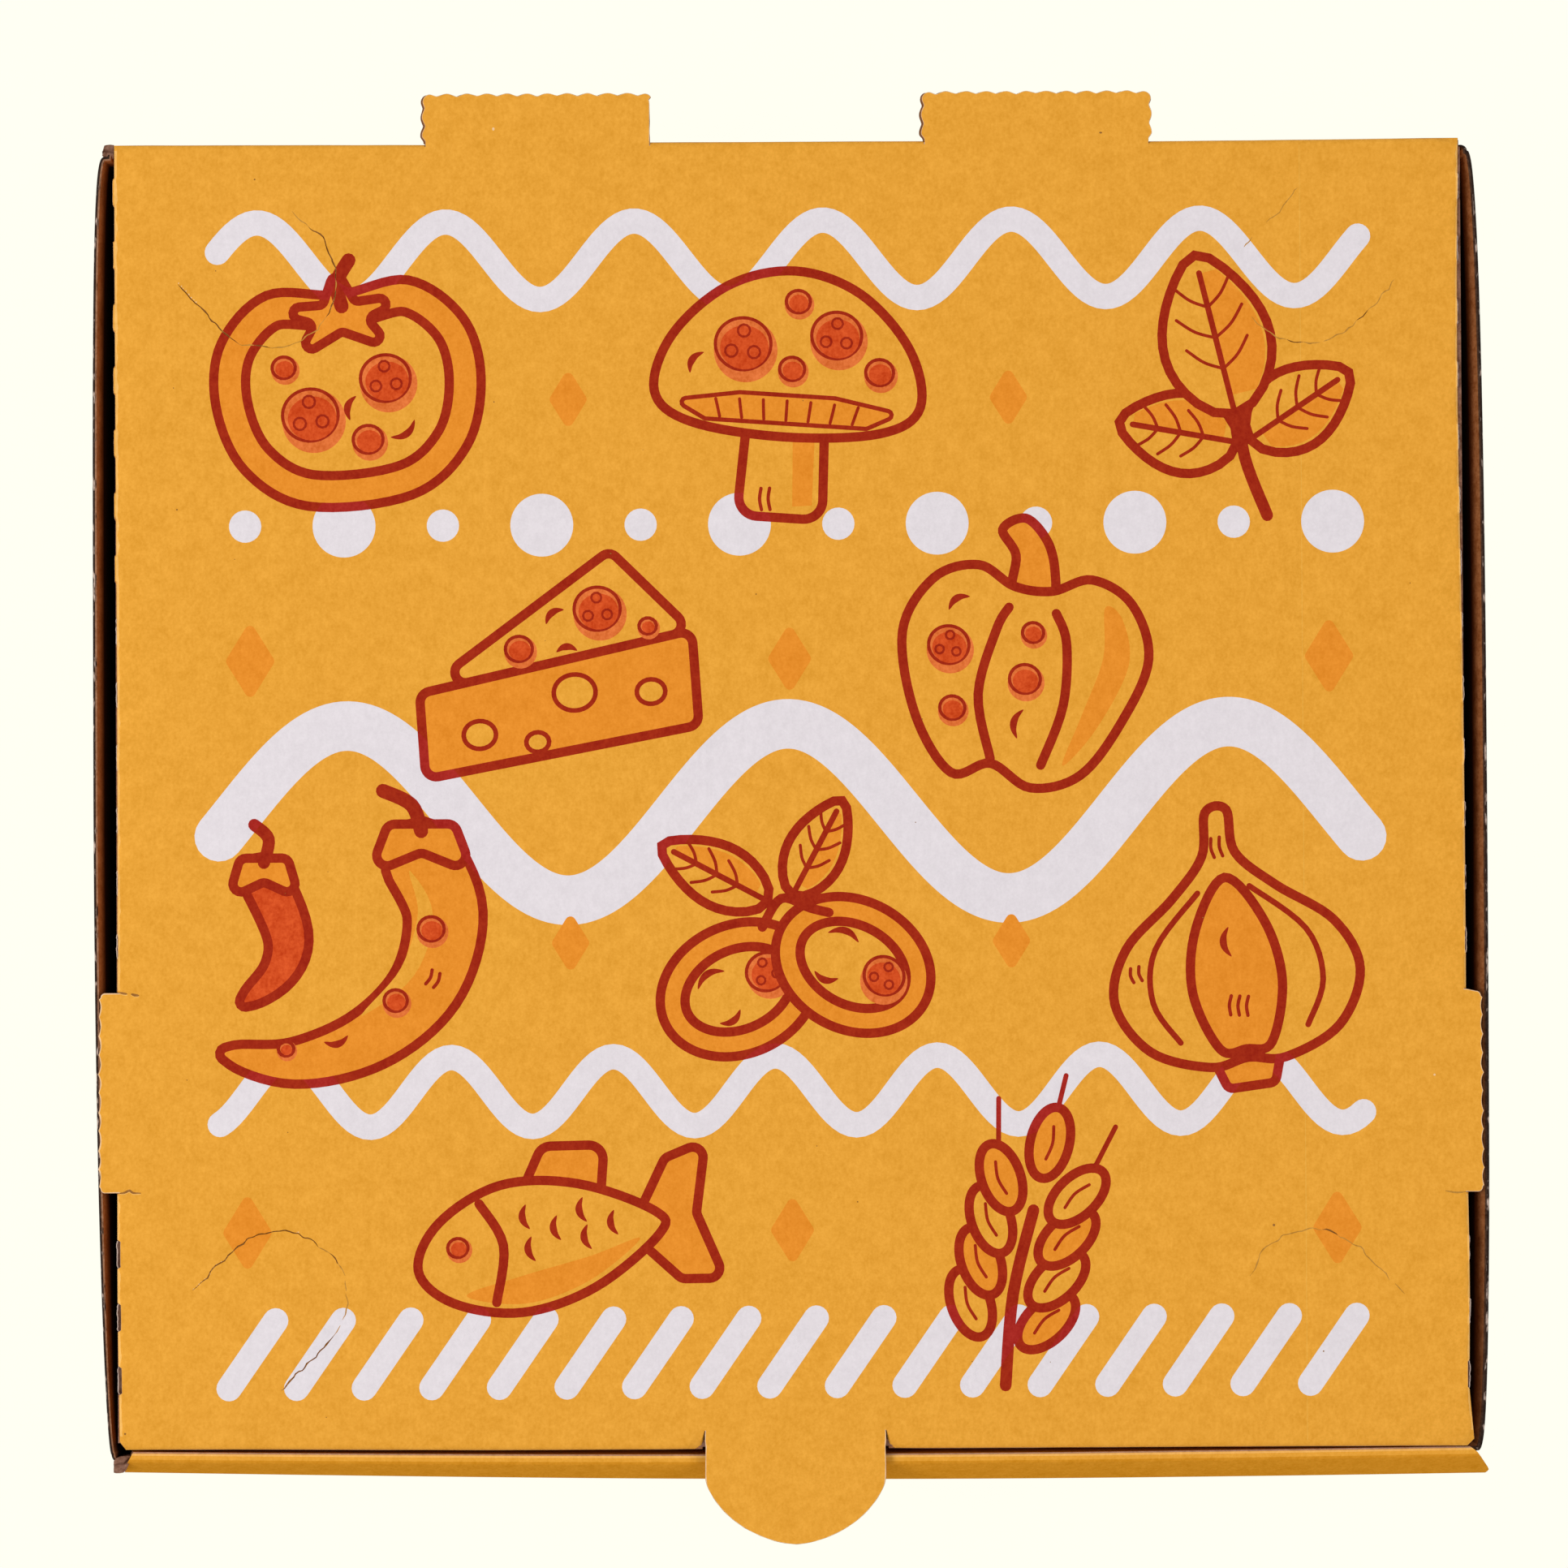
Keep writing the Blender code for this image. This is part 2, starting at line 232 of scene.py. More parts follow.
def rounded(corners, radius):
    """A closed polygon with its corners rounded."""
    points = []
    for i, corner in enumerate(corners):
        here = Vector(corner)
        back = (Vector(corners[i - 1]) - here).normalized()
        ahead = (Vector(corners[(i + 1) % len(corners)]) - here).normalized()
        half = math.acos(max(-1.0, min(1.0, back.dot(ahead)))) / 2
        reach = radius / math.tan(half)
        centre = here + (back + ahead).normalized() * radius / math.sin(half)
        first = here + back * reach - centre
        last = here + ahead * reach - centre
        turn = math.atan2(first.x * last.y - first.y * last.x, first.dot(last))
        steps = max(3, round(abs(turn) * radius / ARC_STEP) + 2)
        start = math.atan2(first.y, first.x)
        points += [around(centre, start + turn * step / steps, radius) for step in range(steps + 1)]
    return points


def smooth(knots, closed=True, steps=8):
    """A curve through all knots (Catmull-Rom)."""
    spots = [Vector(knot) for knot in knots]
    spots = spots[-1:] + spots + spots[:2] if closed else spots[:1] + spots + spots[-1:]
    points = []
    for a, b, c, d in zip(spots, spots[1:], spots[2:], spots[3:]):
        second, third = 2 * a - 5 * b + 4 * c - d, 3 * b - a - 3 * c + d
        for t in (step / steps for step in range(steps)):
            points.append(tuple(0.5 * (2 * b + (c - a) * t + second * t ** 2 + third * t ** 3)))
    return points if closed else points + [tuple(knots[-1])]


def open_curve(knots, steps):
    return smooth(knots, False, steps)


def swelling(thin, thick, power=1.0):
    """The width of a stroke that is thin at both ends, for a ribbon."""
    return lambda share: thin + thick * math.sin(math.pi * share) ** power


def anticlockwise(path):
    area = sum(a[0] * b[1] - b[0] * a[1] for a, b in zip(path, path[1:] + path[:1]))
    return path if area > 0 else path[::-1]


def side_normals(path, closed):
    """Unit normals to the right of the way walked, with a stretch that keeps the width at bends."""
    count = len(path)
    normals = []
    for i in range(count):
        before = Vector(path[i - 1]) if closed or i > 0 else Vector(path[0])
        after = Vector(path[(i + 1) % count]) if closed or i < count - 1 else Vector(path[-1])
        here = Vector(path[i])
        sides = [
            Vector((way.y, -way.x)).normalized() for way in (here - before, after - here) if way.length > 1e-6
        ]
        total = sum(sides, Vector((0.0, 0.0))).normalized()
        normals.append(total / max(0.5, total.dot(sides[0])))
    return normals


def offset(path, distance):
    """A closed anticlockwise path moved outwards. distance is a number, or a function of the place."""
    distance_at = distance if callable(distance) else (lambda x, y: distance)
    moved = []
    for (x, y), normal in zip(path, side_normals(path, True)):
        way = distance_at(x, y)
        moved.append((x + normal.x * way, y + normal.y * way))
    return moved


def ribbon(path, width, cap_steps=6):
    """The outline of a stroke along an open path. width is a number, or a function of the share walked."""
    width_at = width if callable(width) else (lambda share: width)
    halves = [width_at(i / (len(path) - 1)) / 2 for i in range(len(path))]
    normals = side_normals(path, False)

    def edge(sign):
        return [(p[0] + sign * n.x * h, p[1] + sign * n.y * h) for p, n, h in zip(path, normals, halves)]

    def cap(point, normal, half):
        start = math.atan2(normal.y, normal.x)
        return [around(point, start + math.pi * step / cap_steps, half) for step in range(1, cap_steps)]

    end_cap = cap(path[-1], normals[-1], halves[-1])
    return edge(1) + end_cap + edge(-1)[::-1] + cap(path[0], -normals[0], halves[0])


def wobble(x, y, size, seed=0.0):
    """Smooth noise between about -1 and 1, with bumps of a given size in millimetres."""
    return max(-1.0, min(1.0, 1.6 * noise.noise(Vector((x / size, y / size, seed)))))


# Drawing on a sheet

class Drawing:
    """Shapes on a sheet: the first is its outline, and later ones cover earlier ones."""

    def __init__(self, outline, ink):
        self.points = []
        self.edges = []
        self.shapes = []
        self.inks = []
        self.grooves = set()
        self.shape(outline, ink)

    def shape(self, outline, ink):
        first = len(self.points)
        self.points += anticlockwise(list(outline))
        self.shapes.append(list(range(first, len(self.points))))
        self.inks.append(ink)

    def line(self, points, groove=False):
        """Points that the sheet's mesh passes through, joined by edges. A groove's points are pressed in."""
        first = len(self.points)
        self.points += points
        self.edges += [(i, i + 1) for i in range(first, len(self.points) - 1)]
        if groove:
            self.grooves.update(range(first, len(self.points)))

    def ink_of(self, shapes):
        """The ink that shows where some shapes lie over each other. Dark red turns crimson over white."""
        stack = [self.inks[i] for i in sorted(shapes, reverse=True)]
        below = [ink for ink in stack if ink != "dark_red"]
        if stack[0] == "dark_red" and below[0] == "white":
            return "crimson"
        return stack[0]

    def triangles(self):
        """Points, triangles, the ink of each triangle and the set of points in a groove."""
        coordinates = [Vector(point) for point in self.points]
        points, _, triangles, sources, _, covers = delaunay_2d_cdt(
            coordinates, self.edges, self.shapes, 1, 0.00001, True
        )
        kept = [i for i in range(len(triangles)) if 0 in covers[i]]
        inks = [self.ink_of(covers[i]) for i in kept]
        pressed = {i for i, origin in enumerate(sources) if self.grooves.intersection(origin)}
        return [tuple(p) for p in points], [tuple(triangles[i]) for i in kept], inks, pressed


def mesh_object(name, vertices, faces, slots):
    """A new object from points in millimetres. slots names the paper or ink of each face."""
    mesh = bpy.data.meshes.new(name)
    mesh.from_pydata([tuple(c * MM for c in vertex) for vertex in vertices], [], faces)
    used = sorted(set(slots))
    for slot in used:
        mesh.materials.append(MATERIALS[slot])
    mesh.polygons.foreach_set("material_index", [used.index(slot) for slot in slots])
    mesh.validate()
    mesh.shade_smooth()
    mesh.set_sharp_from_angle(angle=math.radians(SHARP_EDGE))
    obj = bpy.data.objects.new(name, mesh)
    bpy.context.scene.collection.objects.link(obj)
    return obj


def closed_sheet(name, drawing, upper, lower, edge_slot, lower_slot):
    """A closed sheet between two surfaces. upper and lower turn (x, y, pressed, out) into a point in space,
    where out is the way out of the sheet at its edge."""
    plan, triangles, inks, pressed = drawing.triangles()
    directed = {(a, b) for t in triangles for a, b in ((t[0], t[1]), (t[1], t[2]), (t[2], t[0]))}
    border = sorted((a, b) for a, b in directed if (b, a) not in directed)
    out = [Vector((0.0, 0.0)) for _ in plan]
    for a, b in border:
        way = Vector(plan[b]) - Vector(plan[a])
        side = Vector((way.y, -way.x)).normalized()
        out[a] += side
        out[b] += side
    vertices = []
    for surface in (upper, lower):
        vertices += [surface(x, y, i in pressed, out[i].normalized()) for i, (x, y) in enumerate(plan)]
    count = len(plan)
    faces = list(triangles) + [(c + count, b + count, a + count) for a, b, c in triangles]
    faces += [(a, a + count, b + count, b) for a, b in border]
    slots = inks + [lower_slot] * len(triangles) + [edge_slot] * len(border)
    return mesh_object(name, vertices, faces, slots)


def loft(name, sections, slots, end_slot="kraft_edge", side=1):
    """A closed solid through closed sections with equally many points. slots names the paper of each face
    around it. With side -1 a piece drawn as if on the right is mirrored to the left."""
    if side < 0:
        sections = [[(-x, y, z) for x, y, z in section[::-1]] for section in sections]
        slots = slots[-2::-1] + slots[-1:]
    size = len(sections[0])
    vertices = [point for section in sections for point in section]
    faces = []
    for row in range(0, len(vertices) - size, size):
        for i in range(size):
            k = (i + 1) % size
            faces.append((row + i, row + k, row + size + k, row + size + i))
    faces += [tuple(range(size))[::-1], tuple(range(len(vertices) - size, len(vertices)))]
    return mesh_object(name, vertices, faces, slots * (len(sections) - 1) + [end_slot, end_slot])


# Outline of the lid

def side_of(x):
    return 1 if x > 0 else -1


def side_waves(start, end):
    """Points after start, up to end, along a waved cut with sharp peaks to the right of the way."""
    length = math.dist(start, end)
    along = ((end[0] - start[0]) / length, (end[1] - start[1]) / length)
    outward = (along[1], -along[0])
    waves = max(1, round(length / WAVE_PITCH))
    points = []
    for step in range(1, waves * WAVE_STEPS + 1):
        share = step / (waves * WAVE_STEPS)
        way = length * (share + 0.012 * math.sin(9 * math.pi * share) * (1 - share) * 4 / waves)
        spot = (start[0] + along[0] * way, start[1] + along[1] * way)
        arch = abs(math.sin(math.pi * step / WAVE_STEPS)) ** 0.85
        bump = (1 - arch if share < 1 else 0.0) * SIDE_WAVE_DEPTH * (0.85 + 0.25 * wobble(*spot, 6.0, 3.0))
        points.append((spot[0] + outward[0] * bump, spot[1] + outward[1] * bump))
    return points


def scalloped(path, peaks, depth_at):
    """An open path with round bumps to the right of the way walked. peaks lists indices of the path's points
    where a bump has its top, and the bumps between them are about as long as the knife's waves."""
    walked = [0.0]
    for a, b in zip(path, path[1:]):
        walked.append(walked[-1] + math.dist(a, b))
    stops = [(0.0, 0.0)]
    for i in peaks:
        span = (walked[i] - stops[-1][0]) / WAVE_PITCH
        waves = round(span - 0.5) + 0.5 if len(stops) == 1 else round(span)
        stops.append((walked[i], stops[-1][1] + waves))
    tail = round((walked[-1] - stops[-1][0]) / WAVE_PITCH - 0.5) + 0.5
    stops.append((walked[-1], stops[-1][1] + tail))
    points = []
    for (x, y), normal, way in zip(path, side_normals(path, False), walked):
        k = max(i for i in range(len(stops) - 1) if stops[i][0] <= way + 1e-9)
        share = (way - stops[k][0]) / (stops[k + 1][0] - stops[k][0])
        phase = math.pi * (stops[k][1] + (stops[k + 1][1] - stops[k][1]) * share)
        arch = 0.6 * abs(math.sin(phase)) + 0.4 * math.sin(phase) ** 2
        bump = depth_at(x, y) * (1 - (1 - arch) * (0.8 + 0.2 * wobble(x, y, 6.0, 3.0)))
        points.append((x + normal.x * bump, y + normal.y * bump))
    return points


def quarter(centre, radius, start):
    """A quarter turn, anticlockwise from a direction in degrees."""
    return arc(centre, radius, start=start, end=start + 90)


def straight(start, end, step=8.0, waver=0.06):
    """Points from start to end along an edge that wavers a little. Both ends are exact."""
    length = math.dist(start, end)
    count = max(1, round(length / step))
    normal = ((end[1] - start[1]) / length, (start[0] - end[0]) / length)
    points = []
    for i in range(count + 1):
        x = start[0] + (end[0] - start[0]) * i / count
        y = start[1] + (end[1] - start[1]) * i / count
        shift = waver * wobble(x, y, 20.0, 8.0) if 0 < i < count else 0.0
        points.append((x + normal[0] * shift, y + normal[1] * shift))
    return points


def slots_between(near, far):
    """Near and far ends of the slots cut along a stretch of a side fold."""
    count = int((far - near) / SLOT_PITCH)
    margin = (far - near - count * SLOT_PITCH + SLOT_PITCH - SLOT_LENGTH) / 2
    starts = [near + margin + SLOT_PITCH * i for i in range(count)]
    return [(start, start + SLOT_LENGTH) for start in starts]


FOLD_SLOTS = slots_between(FRONT + CHAMFER[-1], SIDE_TABS[-1][0]) + slots_between(SIDE_TABS[-1][1], REAR)


def slot_reach(side, y):
    """How far the print stands out at a slot of a side fold. Near the front some slots are torn back."""
    if side > 0:
        return TORN_SLOT * 0.6 if y < -125 else LOW_SLOT
    if y < SIDE_TABS[side][0]:
        return TORN_SLOT
    return PROUD_SLOT if y > 40 else LOW_SLOT


def part_cut_fold(near, far, side):
    """Points of a side fold, as if on the right, with its slots."""
    x = LID_HALF_WIDTH
    points = [(x, near)]
    for start, end in FOLD_SLOTS:
        if near < start and end < far:
            reach = slot_reach(side, start)
            inner = straight((x + reach, start + SLOT_RAMP), (x + reach, end - SLOT_RAMP), 0.8, 0.14)
            points += [(x, start)] + inner + [(x, end)]
    return points + [(x, far)]


def side_edge(side):
    """Points of one side of the lid from its front corner to its rear corner."""
    x = LID_HALF_WIDTH
    tab_x = x + SIDE_TAB_REACH[side] - SIDE_WAVE_DEPTH
    near, far = SIDE_TABS[side]
    slit, radius = SLIT_HALF_WIDTH, SIDE_TAB_RADIUS
    low = near + slit + radius
    high = far - slit - radius - SIDE_TAB_SLANT[side]
    points = [(x - CHAMFER[side], FRONT)]
    points += part_cut_fold(FRONT + CHAMFER[side], near - slit, side)
    points += [(x - TAB_SLIT, near - slit), (x - TAB_SLIT, near + slit), (x, near + slit)]
    points += quarter((tab_x - radius, low), radius, -90) + side_waves((tab_x, low), (tab_x, high))
    points += quarter((tab_x - radius, high), radius, 0)[1:]
    points += [(x, far - slit), (x - TAB_SLIT, far - slit), (x - TAB_SLIT, far + slit)]
    points += part_cut_fold(far + slit, lid_rear(side * x), side)
    return [(side * lid_side(a, b, side), b) for a, b in points]


def lid_side(x, y, side):
    """x of a place near the lid's side, as if on the right, drawn in a little where the real edge is."""
    pull = sum(depth * math.exp(-((y - place) / reach) ** 2) for depth, place, reach in LID_PULLS[side])
    return x - pull * (x / LID_HALF_WIDTH) ** 6


def lid_edge(side, inset, y):
    """The place at an inset inside the lid's side."""
    return (side * lid_side(LID_HALF_WIDTH - inset, y, side), y)


def lid_rear(x):
    """y of the hinge, which isn't quite straight."""
    if abs(x) < REAR_TAB_CENTRE:
        return REAR + HINGE_RISE
    beyond = max(0.0, (abs(x) - REAR_TAB_CENTRE - REAR_TAB_HALF_WIDTH + 10) / 62)
    return REAR + HINGE_ENDS[side_of(x)] * beyond ** 1.5


def lid_front(x):
    """y of the lid's front edge, which runs a little askew."""
    share = min(1.0, max(0.0, (x + 135) / 80))
    return FRONT - FRONT_SKEW * share * share * (3 - 2 * share)


def dense(path, step=0.36):
    """The same open path with a point at least every step."""
    points = []
    for a, b in zip(path, path[1:]):
        count = max(1, math.ceil(math.dist(a, b) / step))
        points += [(a[0] + (b[0] - a[0]) * k / count, a[1] + (b[1] - a[1]) * k / count) for k in range(count)]
    return points + [path[-1]]


def rear_tab_edge(side):
    """Points of a rear tab's waved edge, walked from right to left. The left tab's right end is straight."""
    right = side * REAR_TAB_CENTRE + REAR_TAB_HALF_WIDTH - SLIT_HALF_WIDTH
    left = side * REAR_TAB_CENTRE - REAR_TAB_HALF_WIDTH + SLIT_HALF_WIDTH
    shoulder = REAR + REAR_TAB_REACH - WAVE_DEPTH - TAB_RADIUS
    right_corner = quarter((right - TAB_RADIUS, shoulder), TAB_RADIUS, 0)
    left_corner = quarter((left + TAB_RADIUS, shoulder), TAB_RADIUS, 90)
    up = dense([(right, REAR)] + right_corner)
    across = dense([right_corner[-1], left_corner[0]])
    down = dense(left_corner + [(left, REAR)])

    def peak(run, corner):
        return min(range(len(run)), key=lambda i: math.dist(run[i], corner[len(corner) // 2]))

    def depth_at(x, y):
        if side < 0 and x > right - 0.2:
            return 0.0
        return WAVE_DEPTH * min(1.0, max(0.0, y - REAR - 0.6))

    peaks = (peak(up, right_corner), len(up) + len(across) - 2 + peak(down, left_corner))
    return scalloped(up + across[1:-1] + down, peaks, depth_at)


def rear_tab(side):
    """Points of a rear tab, walked from right to left, with a short slit at each end of its fold."""
    slit, depth, centre = SLIT_HALF_WIDTH, REAR - TAB_SLIT, side * REAR_TAB_CENTRE
    right, left = centre + REAR_TAB_HALF_WIDTH, centre - REAR_TAB_HALF_WIDTH
    points = [(right + slit, lid_rear(right + slit)), (right + slit, depth), (right - slit, depth)]
    points += rear_tab_edge(side)
    return points + [(left + slit, depth), (left - slit, depth), (left - slit, lid_rear(left - slit))]


def thumb_tab():
    """Points of the front tab, from the foot of its left slit to that of its right slit."""
    points = []
    for step in range(THUMB_STEPS + 1):
        angle = math.pi * step / THUMB_STEPS
        across = -math.copysign(abs(math.cos(angle)) ** (2 / THUMB_POWER), math.cos(angle))
        reach = math.sin(angle) ** (2 / THUMB_POWER)
        waver = 1 + 0.005 * wobble(across * 20, reach * 15, 5.0, 2.0)
        points.append((THUMB_HALF_WIDTH * across * waver, FRONT - THUMB_STRAIGHT - THUMB_ROUND * reach))
    slit_side = [(THUMB_HALF_WIDTH + bow, FRONT + y) for bow, y in
                 ((0.0, -4.0), (-0.05, -2.0), (-0.1, 0.0), (0.06, 1.4), (0.05, 2.6), (0.0, THUMB_SLIT))]
    edge = [(-x, y) for x, y in reversed(slit_side)] + points + slit_side
    return [(x + THUMB_CENTRE, y) for x, y in edge]


def lid_outline():
    """The lid's outline from above, anticlockwise, with its five tabs."""
    slit_x = THUMB_HALF_WIDTH + THUMB_SLIT_WIDTH
    slit_top_x = THUMB_HALF_WIDTH + THUMB_SLIT_TOP
    half = REAR_TAB_HALF_WIDTH + SLIT_HALF_WIDTH

    def front_run(start, end):
        return [(x, lid_front(x)) for x, _ in straight((start, FRONT), (end, FRONT))]

    def rear_run(start, end):
        return [(x, lid_rear(x)) for x, _ in straight((start, REAR), (end, REAR))][1:-1]

    left_front = front_run(CHAMFER[-1] - LID_HALF_WIDTH, THUMB_CENTRE - slit_x)
    left_front += [(THUMB_CENTRE - slit_top_x, FRONT + THUMB_SLIT)]
    right_front = [(THUMB_CENTRE + slit_top_x, FRONT + THUMB_SLIT)]
    right_front += front_run(THUMB_CENTRE + slit_x, LID_HALF_WIDTH - CHAMFER[1] + 0.6)
    rear = rear_run(LID_HALF_WIDTH - 0.5, REAR_TAB_CENTRE + half) + rear_tab(1)
    rear += rear_run(REAR_TAB_CENTRE - half, half - REAR_TAB_CENTRE) + rear_tab(-1)
    rear += rear_run(-REAR_TAB_CENTRE - half, 0.1 - LID_HALF_WIDTH)
    right = side_edge(1)[1:]
    left = side_edge(-1)[::-1][:-1]
    return left_front + thumb_tab() + right_front + right + rear + left


# Height of the lid

def fold_drop(distance):
    """How far a rounded fold has dropped at a distance inside its edge."""
    reach = FOLD_RADIUS - max(distance, 0.0)
    return FOLD_RADIUS - math.sqrt(FOLD_RADIUS ** 2 - reach ** 2) if reach > 0 else 0.0


def uncut_share(y):
    """1 where the side fold holds, 0 in its slots."""
    for start, end in FOLD_SLOTS:
        if start < y < end:
            return 1 - min(1.0, (y - start) / SLOT_RAMP, (end - y) / SLOT_RAMP)
    return 1.0


def face_height(x, y):
    """Height of the lid's face without its folds: it sags in the middle, and the thumb tab droops."""
    across = max(0.0, 1 - (x / LID_HALF_WIDTH) ** 2)
    along = max(0.0, 1 - (y / LID_HALF_DEPTH) ** 2)
    ripple = LID_RIPPLE * (1 + wobble(x, y, 45.0, 1.0))
    droop = THUMB_DROOP * max(0.0, FRONT - y)
    return LID_TOP - LID_SAG * across * along - ripple - droop


def on_side_tab(x, y):
    near, far = SIDE_TABS[side_of(x)]
    return near < y < far


def lid_height(x, y):
    """Height of the lid's face, folded down at its edges but not on its tabs. It dips by the thumb slits."""
    on_rear_tab = y > REAR + 0.5 or abs(abs(x) - REAR_TAB_CENTRE) < REAR_TAB_HALF_WIDTH
    side_x = lid_side(LID_HALF_WIDTH, y, side_of(x))
    side = 0.0 if on_side_tab(x, y) else fold_drop(side_x - abs(x)) * uncut_share(y)
    rear = 0.0 if on_rear_tab else fold_drop(lid_rear(x) - y)
    beside = abs(x - THUMB_CENTRE) - THUMB_HALF_WIDTH
    front, dip = 0.0, 0.0
    if beside > 0.15:
        front = fold_drop(y - lid_front(x))
        dip = THUMB_DIP * math.exp(-(beside / 2.4) ** 2) * math.exp(-((y - FRONT) / 3.2) ** 2)
    return face_height(x, y) - max(side, rear, front) - dip


# Print: a pen that draws one motif

class Pen:
    """Draws in a motif's own frame on the lid. Its lines are as wide whatever the motif's size is."""

    def __init__(self, drawing, centre, turn=0.0, size=1.0):
        self.drawing = drawing
        self.centre = centre
        self.turn = math.radians(turn)
        self.size = size

    def place(self, path):
        return [turned(self.centre, self.turn, x, y, self.size) for x, y in path]

    def within(self, x, y, turn):
        """A pen of the same size at a place inside the motif, turned by some degrees more."""
        return Pen(self.drawing, self.place([(x, y)])[0], math.degrees(self.turn) + turn, self.size)

    def fill(self, path, ink):
        self.drawing.shape(self.place(path), ink)

    def outline(self, path, fill="board", width=LINE):
        placed = anticlockwise(self.place(path))
        self.drawing.shape(offset(placed, width / 2), "dark_red")
        self.drawing.shape(offset(placed, -width / 2), fill)

    def band(self, path, width=BAND, fill="board"):
        """An outline with an orange band inside it and a second line inside the band."""
        self.outline(path, "orange")
        placed = anticlockwise(self.place(path))
        self.drawing.shape(offset(placed, -LINE / 2 - width), "dark_red")
        self.drawing.shape(offset(placed, -1.5 * LINE - width), fill)

    def stroke(self, path, width=LINE, ink="dark_red"):
        self.drawing.shape(ribbon(self.place(path), width), ink)

    def curve(self, knots, width=LINE, ink="dark_red"):
        self.stroke(open_curve(knots, 6), width, ink)

    def ticks(self, x, y, turn, count=2, length=3.2, gap=1.8):
        """Short marks side by side, as on a crust or a stalk."""
        way = Vector((math.cos(math.radians(turn)), math.sin(math.radians(turn))))
        side = Vector((-way.y, way.x))
        for i in range(count):
            start = Vector((x, y)) + side * gap * (i - (count - 1) / 2)
            bend = start + way * length / 2 + side * 0.35
            self.curve([tuple(start), tuple(bend), tuple(start + way * length)], THIN * 1.1)

    def spot(self, x, y, radius):
        """A red spot with a thin dark line, a lighter rim and a soft lower edge. A large one has seeds."""
        inner = radius - THIN
        self.fill(arc((x + 0.1 * radius, y - 0.22 * radius), radius * 1.08), "spot_glow")
        self.fill(arc((x, y), radius, radius * 0.94), "dark_red")
        self.fill(arc((x, y), inner, radius * 0.94 - THIN), "spot_glow")
        self.fill(arc((x + 0.05 * radius, y - 0.12 * radius), inner * 0.93, inner * 0.84), "spot_red")
        for angle in (90, 215, 325) if radius > SEEDED else ():
            seed = around((x, y), math.radians(angle), 0.47 * radius, 0.45 * radius)
            self.fill(arc(seed, radius * 0.25), "dark_red")
            self.fill(arc(seed, radius * 0.25 - THIN * 0.7), "spot_red")

    def spots(self, *places):
        for x, y, radius in places:
            self.spot(x, y, radius)

    def fleck(self, x, y, turn, length=6.0):
        """A thin crescent with pointed ends."""
        knots = []
        for share in (-0.5, -0.25, 0.0, 0.25, 0.5):
            bow = 0.22 * length * (1 - 4 * share ** 2)
            knots.append(turned((x, y), math.radians(turn), share * length, bow))
        self.stroke(open_curve(knots, 4), swelling(0.25, 1.35))


# Print: the motifs

def leaf(pen, base, turn, length, width):
    """A leaf with one half in orange, a middle rib and side veins."""

    def at(share, across):
        return turned(base, math.radians(turn), length * share, across)

    def half(share):
        return width / 2 * math.sin(math.pi * share ** 0.85) ** 0.8

    shares = [i / 14 for i in range(1, 14)]
    left = [at(share, half(share)) for share in shares]
    right = [at(share, -half(share)) for share in shares]
    pen.outline(rounded_tips([at(0, 0)] + right + [at(1, 0)] + left[::-1]))
    inner = shares[1:-1]
    lower = [at(share, -max(0.2, half(share) - LINE * 0.75)) for share in inner]
    pen.fill(lower + [at(share, 0) for share in inner[::-1]], "orange")
    pen.stroke([at(share, 0) for share in (0.02, 0.3, 0.6, 0.86)], LINE * 0.62)
    for share in (0.3, 0.48, 0.66):
        for side in SIDES:
            reach = side * half(share) * 0.62
            pen.curve([at(share, 0), at(share + 0.06, reach * 0.55), at(share + 0.15, reach)], THIN)


def rounded_tips(path):
    """A closed path with its sharp ends eased by one pass of averaging."""
    count = len(path)
    eased = []
    for i in range(count):
        before, here, after = path[i - 1], path[i], path[(i + 1) % count]
        eased.append(tuple((before[k] + 2 * here[k] + after[k]) / 4 for k in range(2)))
    return eased


def tomato(pen):
    pen.band(smooth([
        (-28, -1), (-25.5, 12), (-15, 21), (0, 19.5), (15, 21), (25.5, 12), (28, -1),
        (23.5, -15), (11, -24), (-11, -24), (-23.5, -15),
    ]))
    pen.spots((-8.5, -5.0, 6.2), (8.0, 1.0, 5.6), (3.0, -11.4, 3.5), (-13.0, 5.5, 2.8))
    pen.fleck(10.5, -10.0, 210)
    pen.fleck(0.5, -4.5, 70, 5.0)
    star = []
    for i in range(10):
        radius = 5.0 if i % 2 else 15.5
        star.append(around((0.0, 15.0), math.radians(90 + 36 * i), radius * 1.15, radius * 0.66))
    pen.outline(rounded(star, 1.35), "orange")
    pen.curve([(0.5, 17.0), (0.0, 22.0), (3.0, 26.5)], LINE * 1.5)


def mushroom(pen):
    pen.outline(rounded([(-8, -4), (-9, -28), (9, -28), (8, -4)], 4.0))
    pen.fill([(1.5, -8), (2.5, -25.5), (6.6, -25.0), (6.2, -8)], "orange")
    pen.ticks(-3.0, -26.5, 95, 2, 4.5)
    pen.outline(smooth([
        (-28, -3), (-25, 9), (-14, 20), (0, 24), (14, 20), (25, 9), (28, -3), (20, -9), (0, -11), (-20, -9),
    ]))
    gills = rounded([(-24, -4.6), (-10, -2.2), (10, -2.2), (24, -4.6), (17, -8.2), (-17, -8.2)], 0.9)
    pen.outline(gills, "orange", THIN * 1.4)
    for x in range(-15, 16, 5):
        pen.curve([(x, -3.4 - 0.002 * x * x), (x * 0.97, -5.4), (x * 0.93, -7.5)], THIN)
    pen.spots((-10.0, 8.0, 6.2), (9.5, 11.0, 5.6), (1.0, 17.6, 2.9), (19.0, 3.8, 3.3), (0.6, 3.4, 3.0))
    pen.fleck(-19.5, 3.5, 60, 5.0)


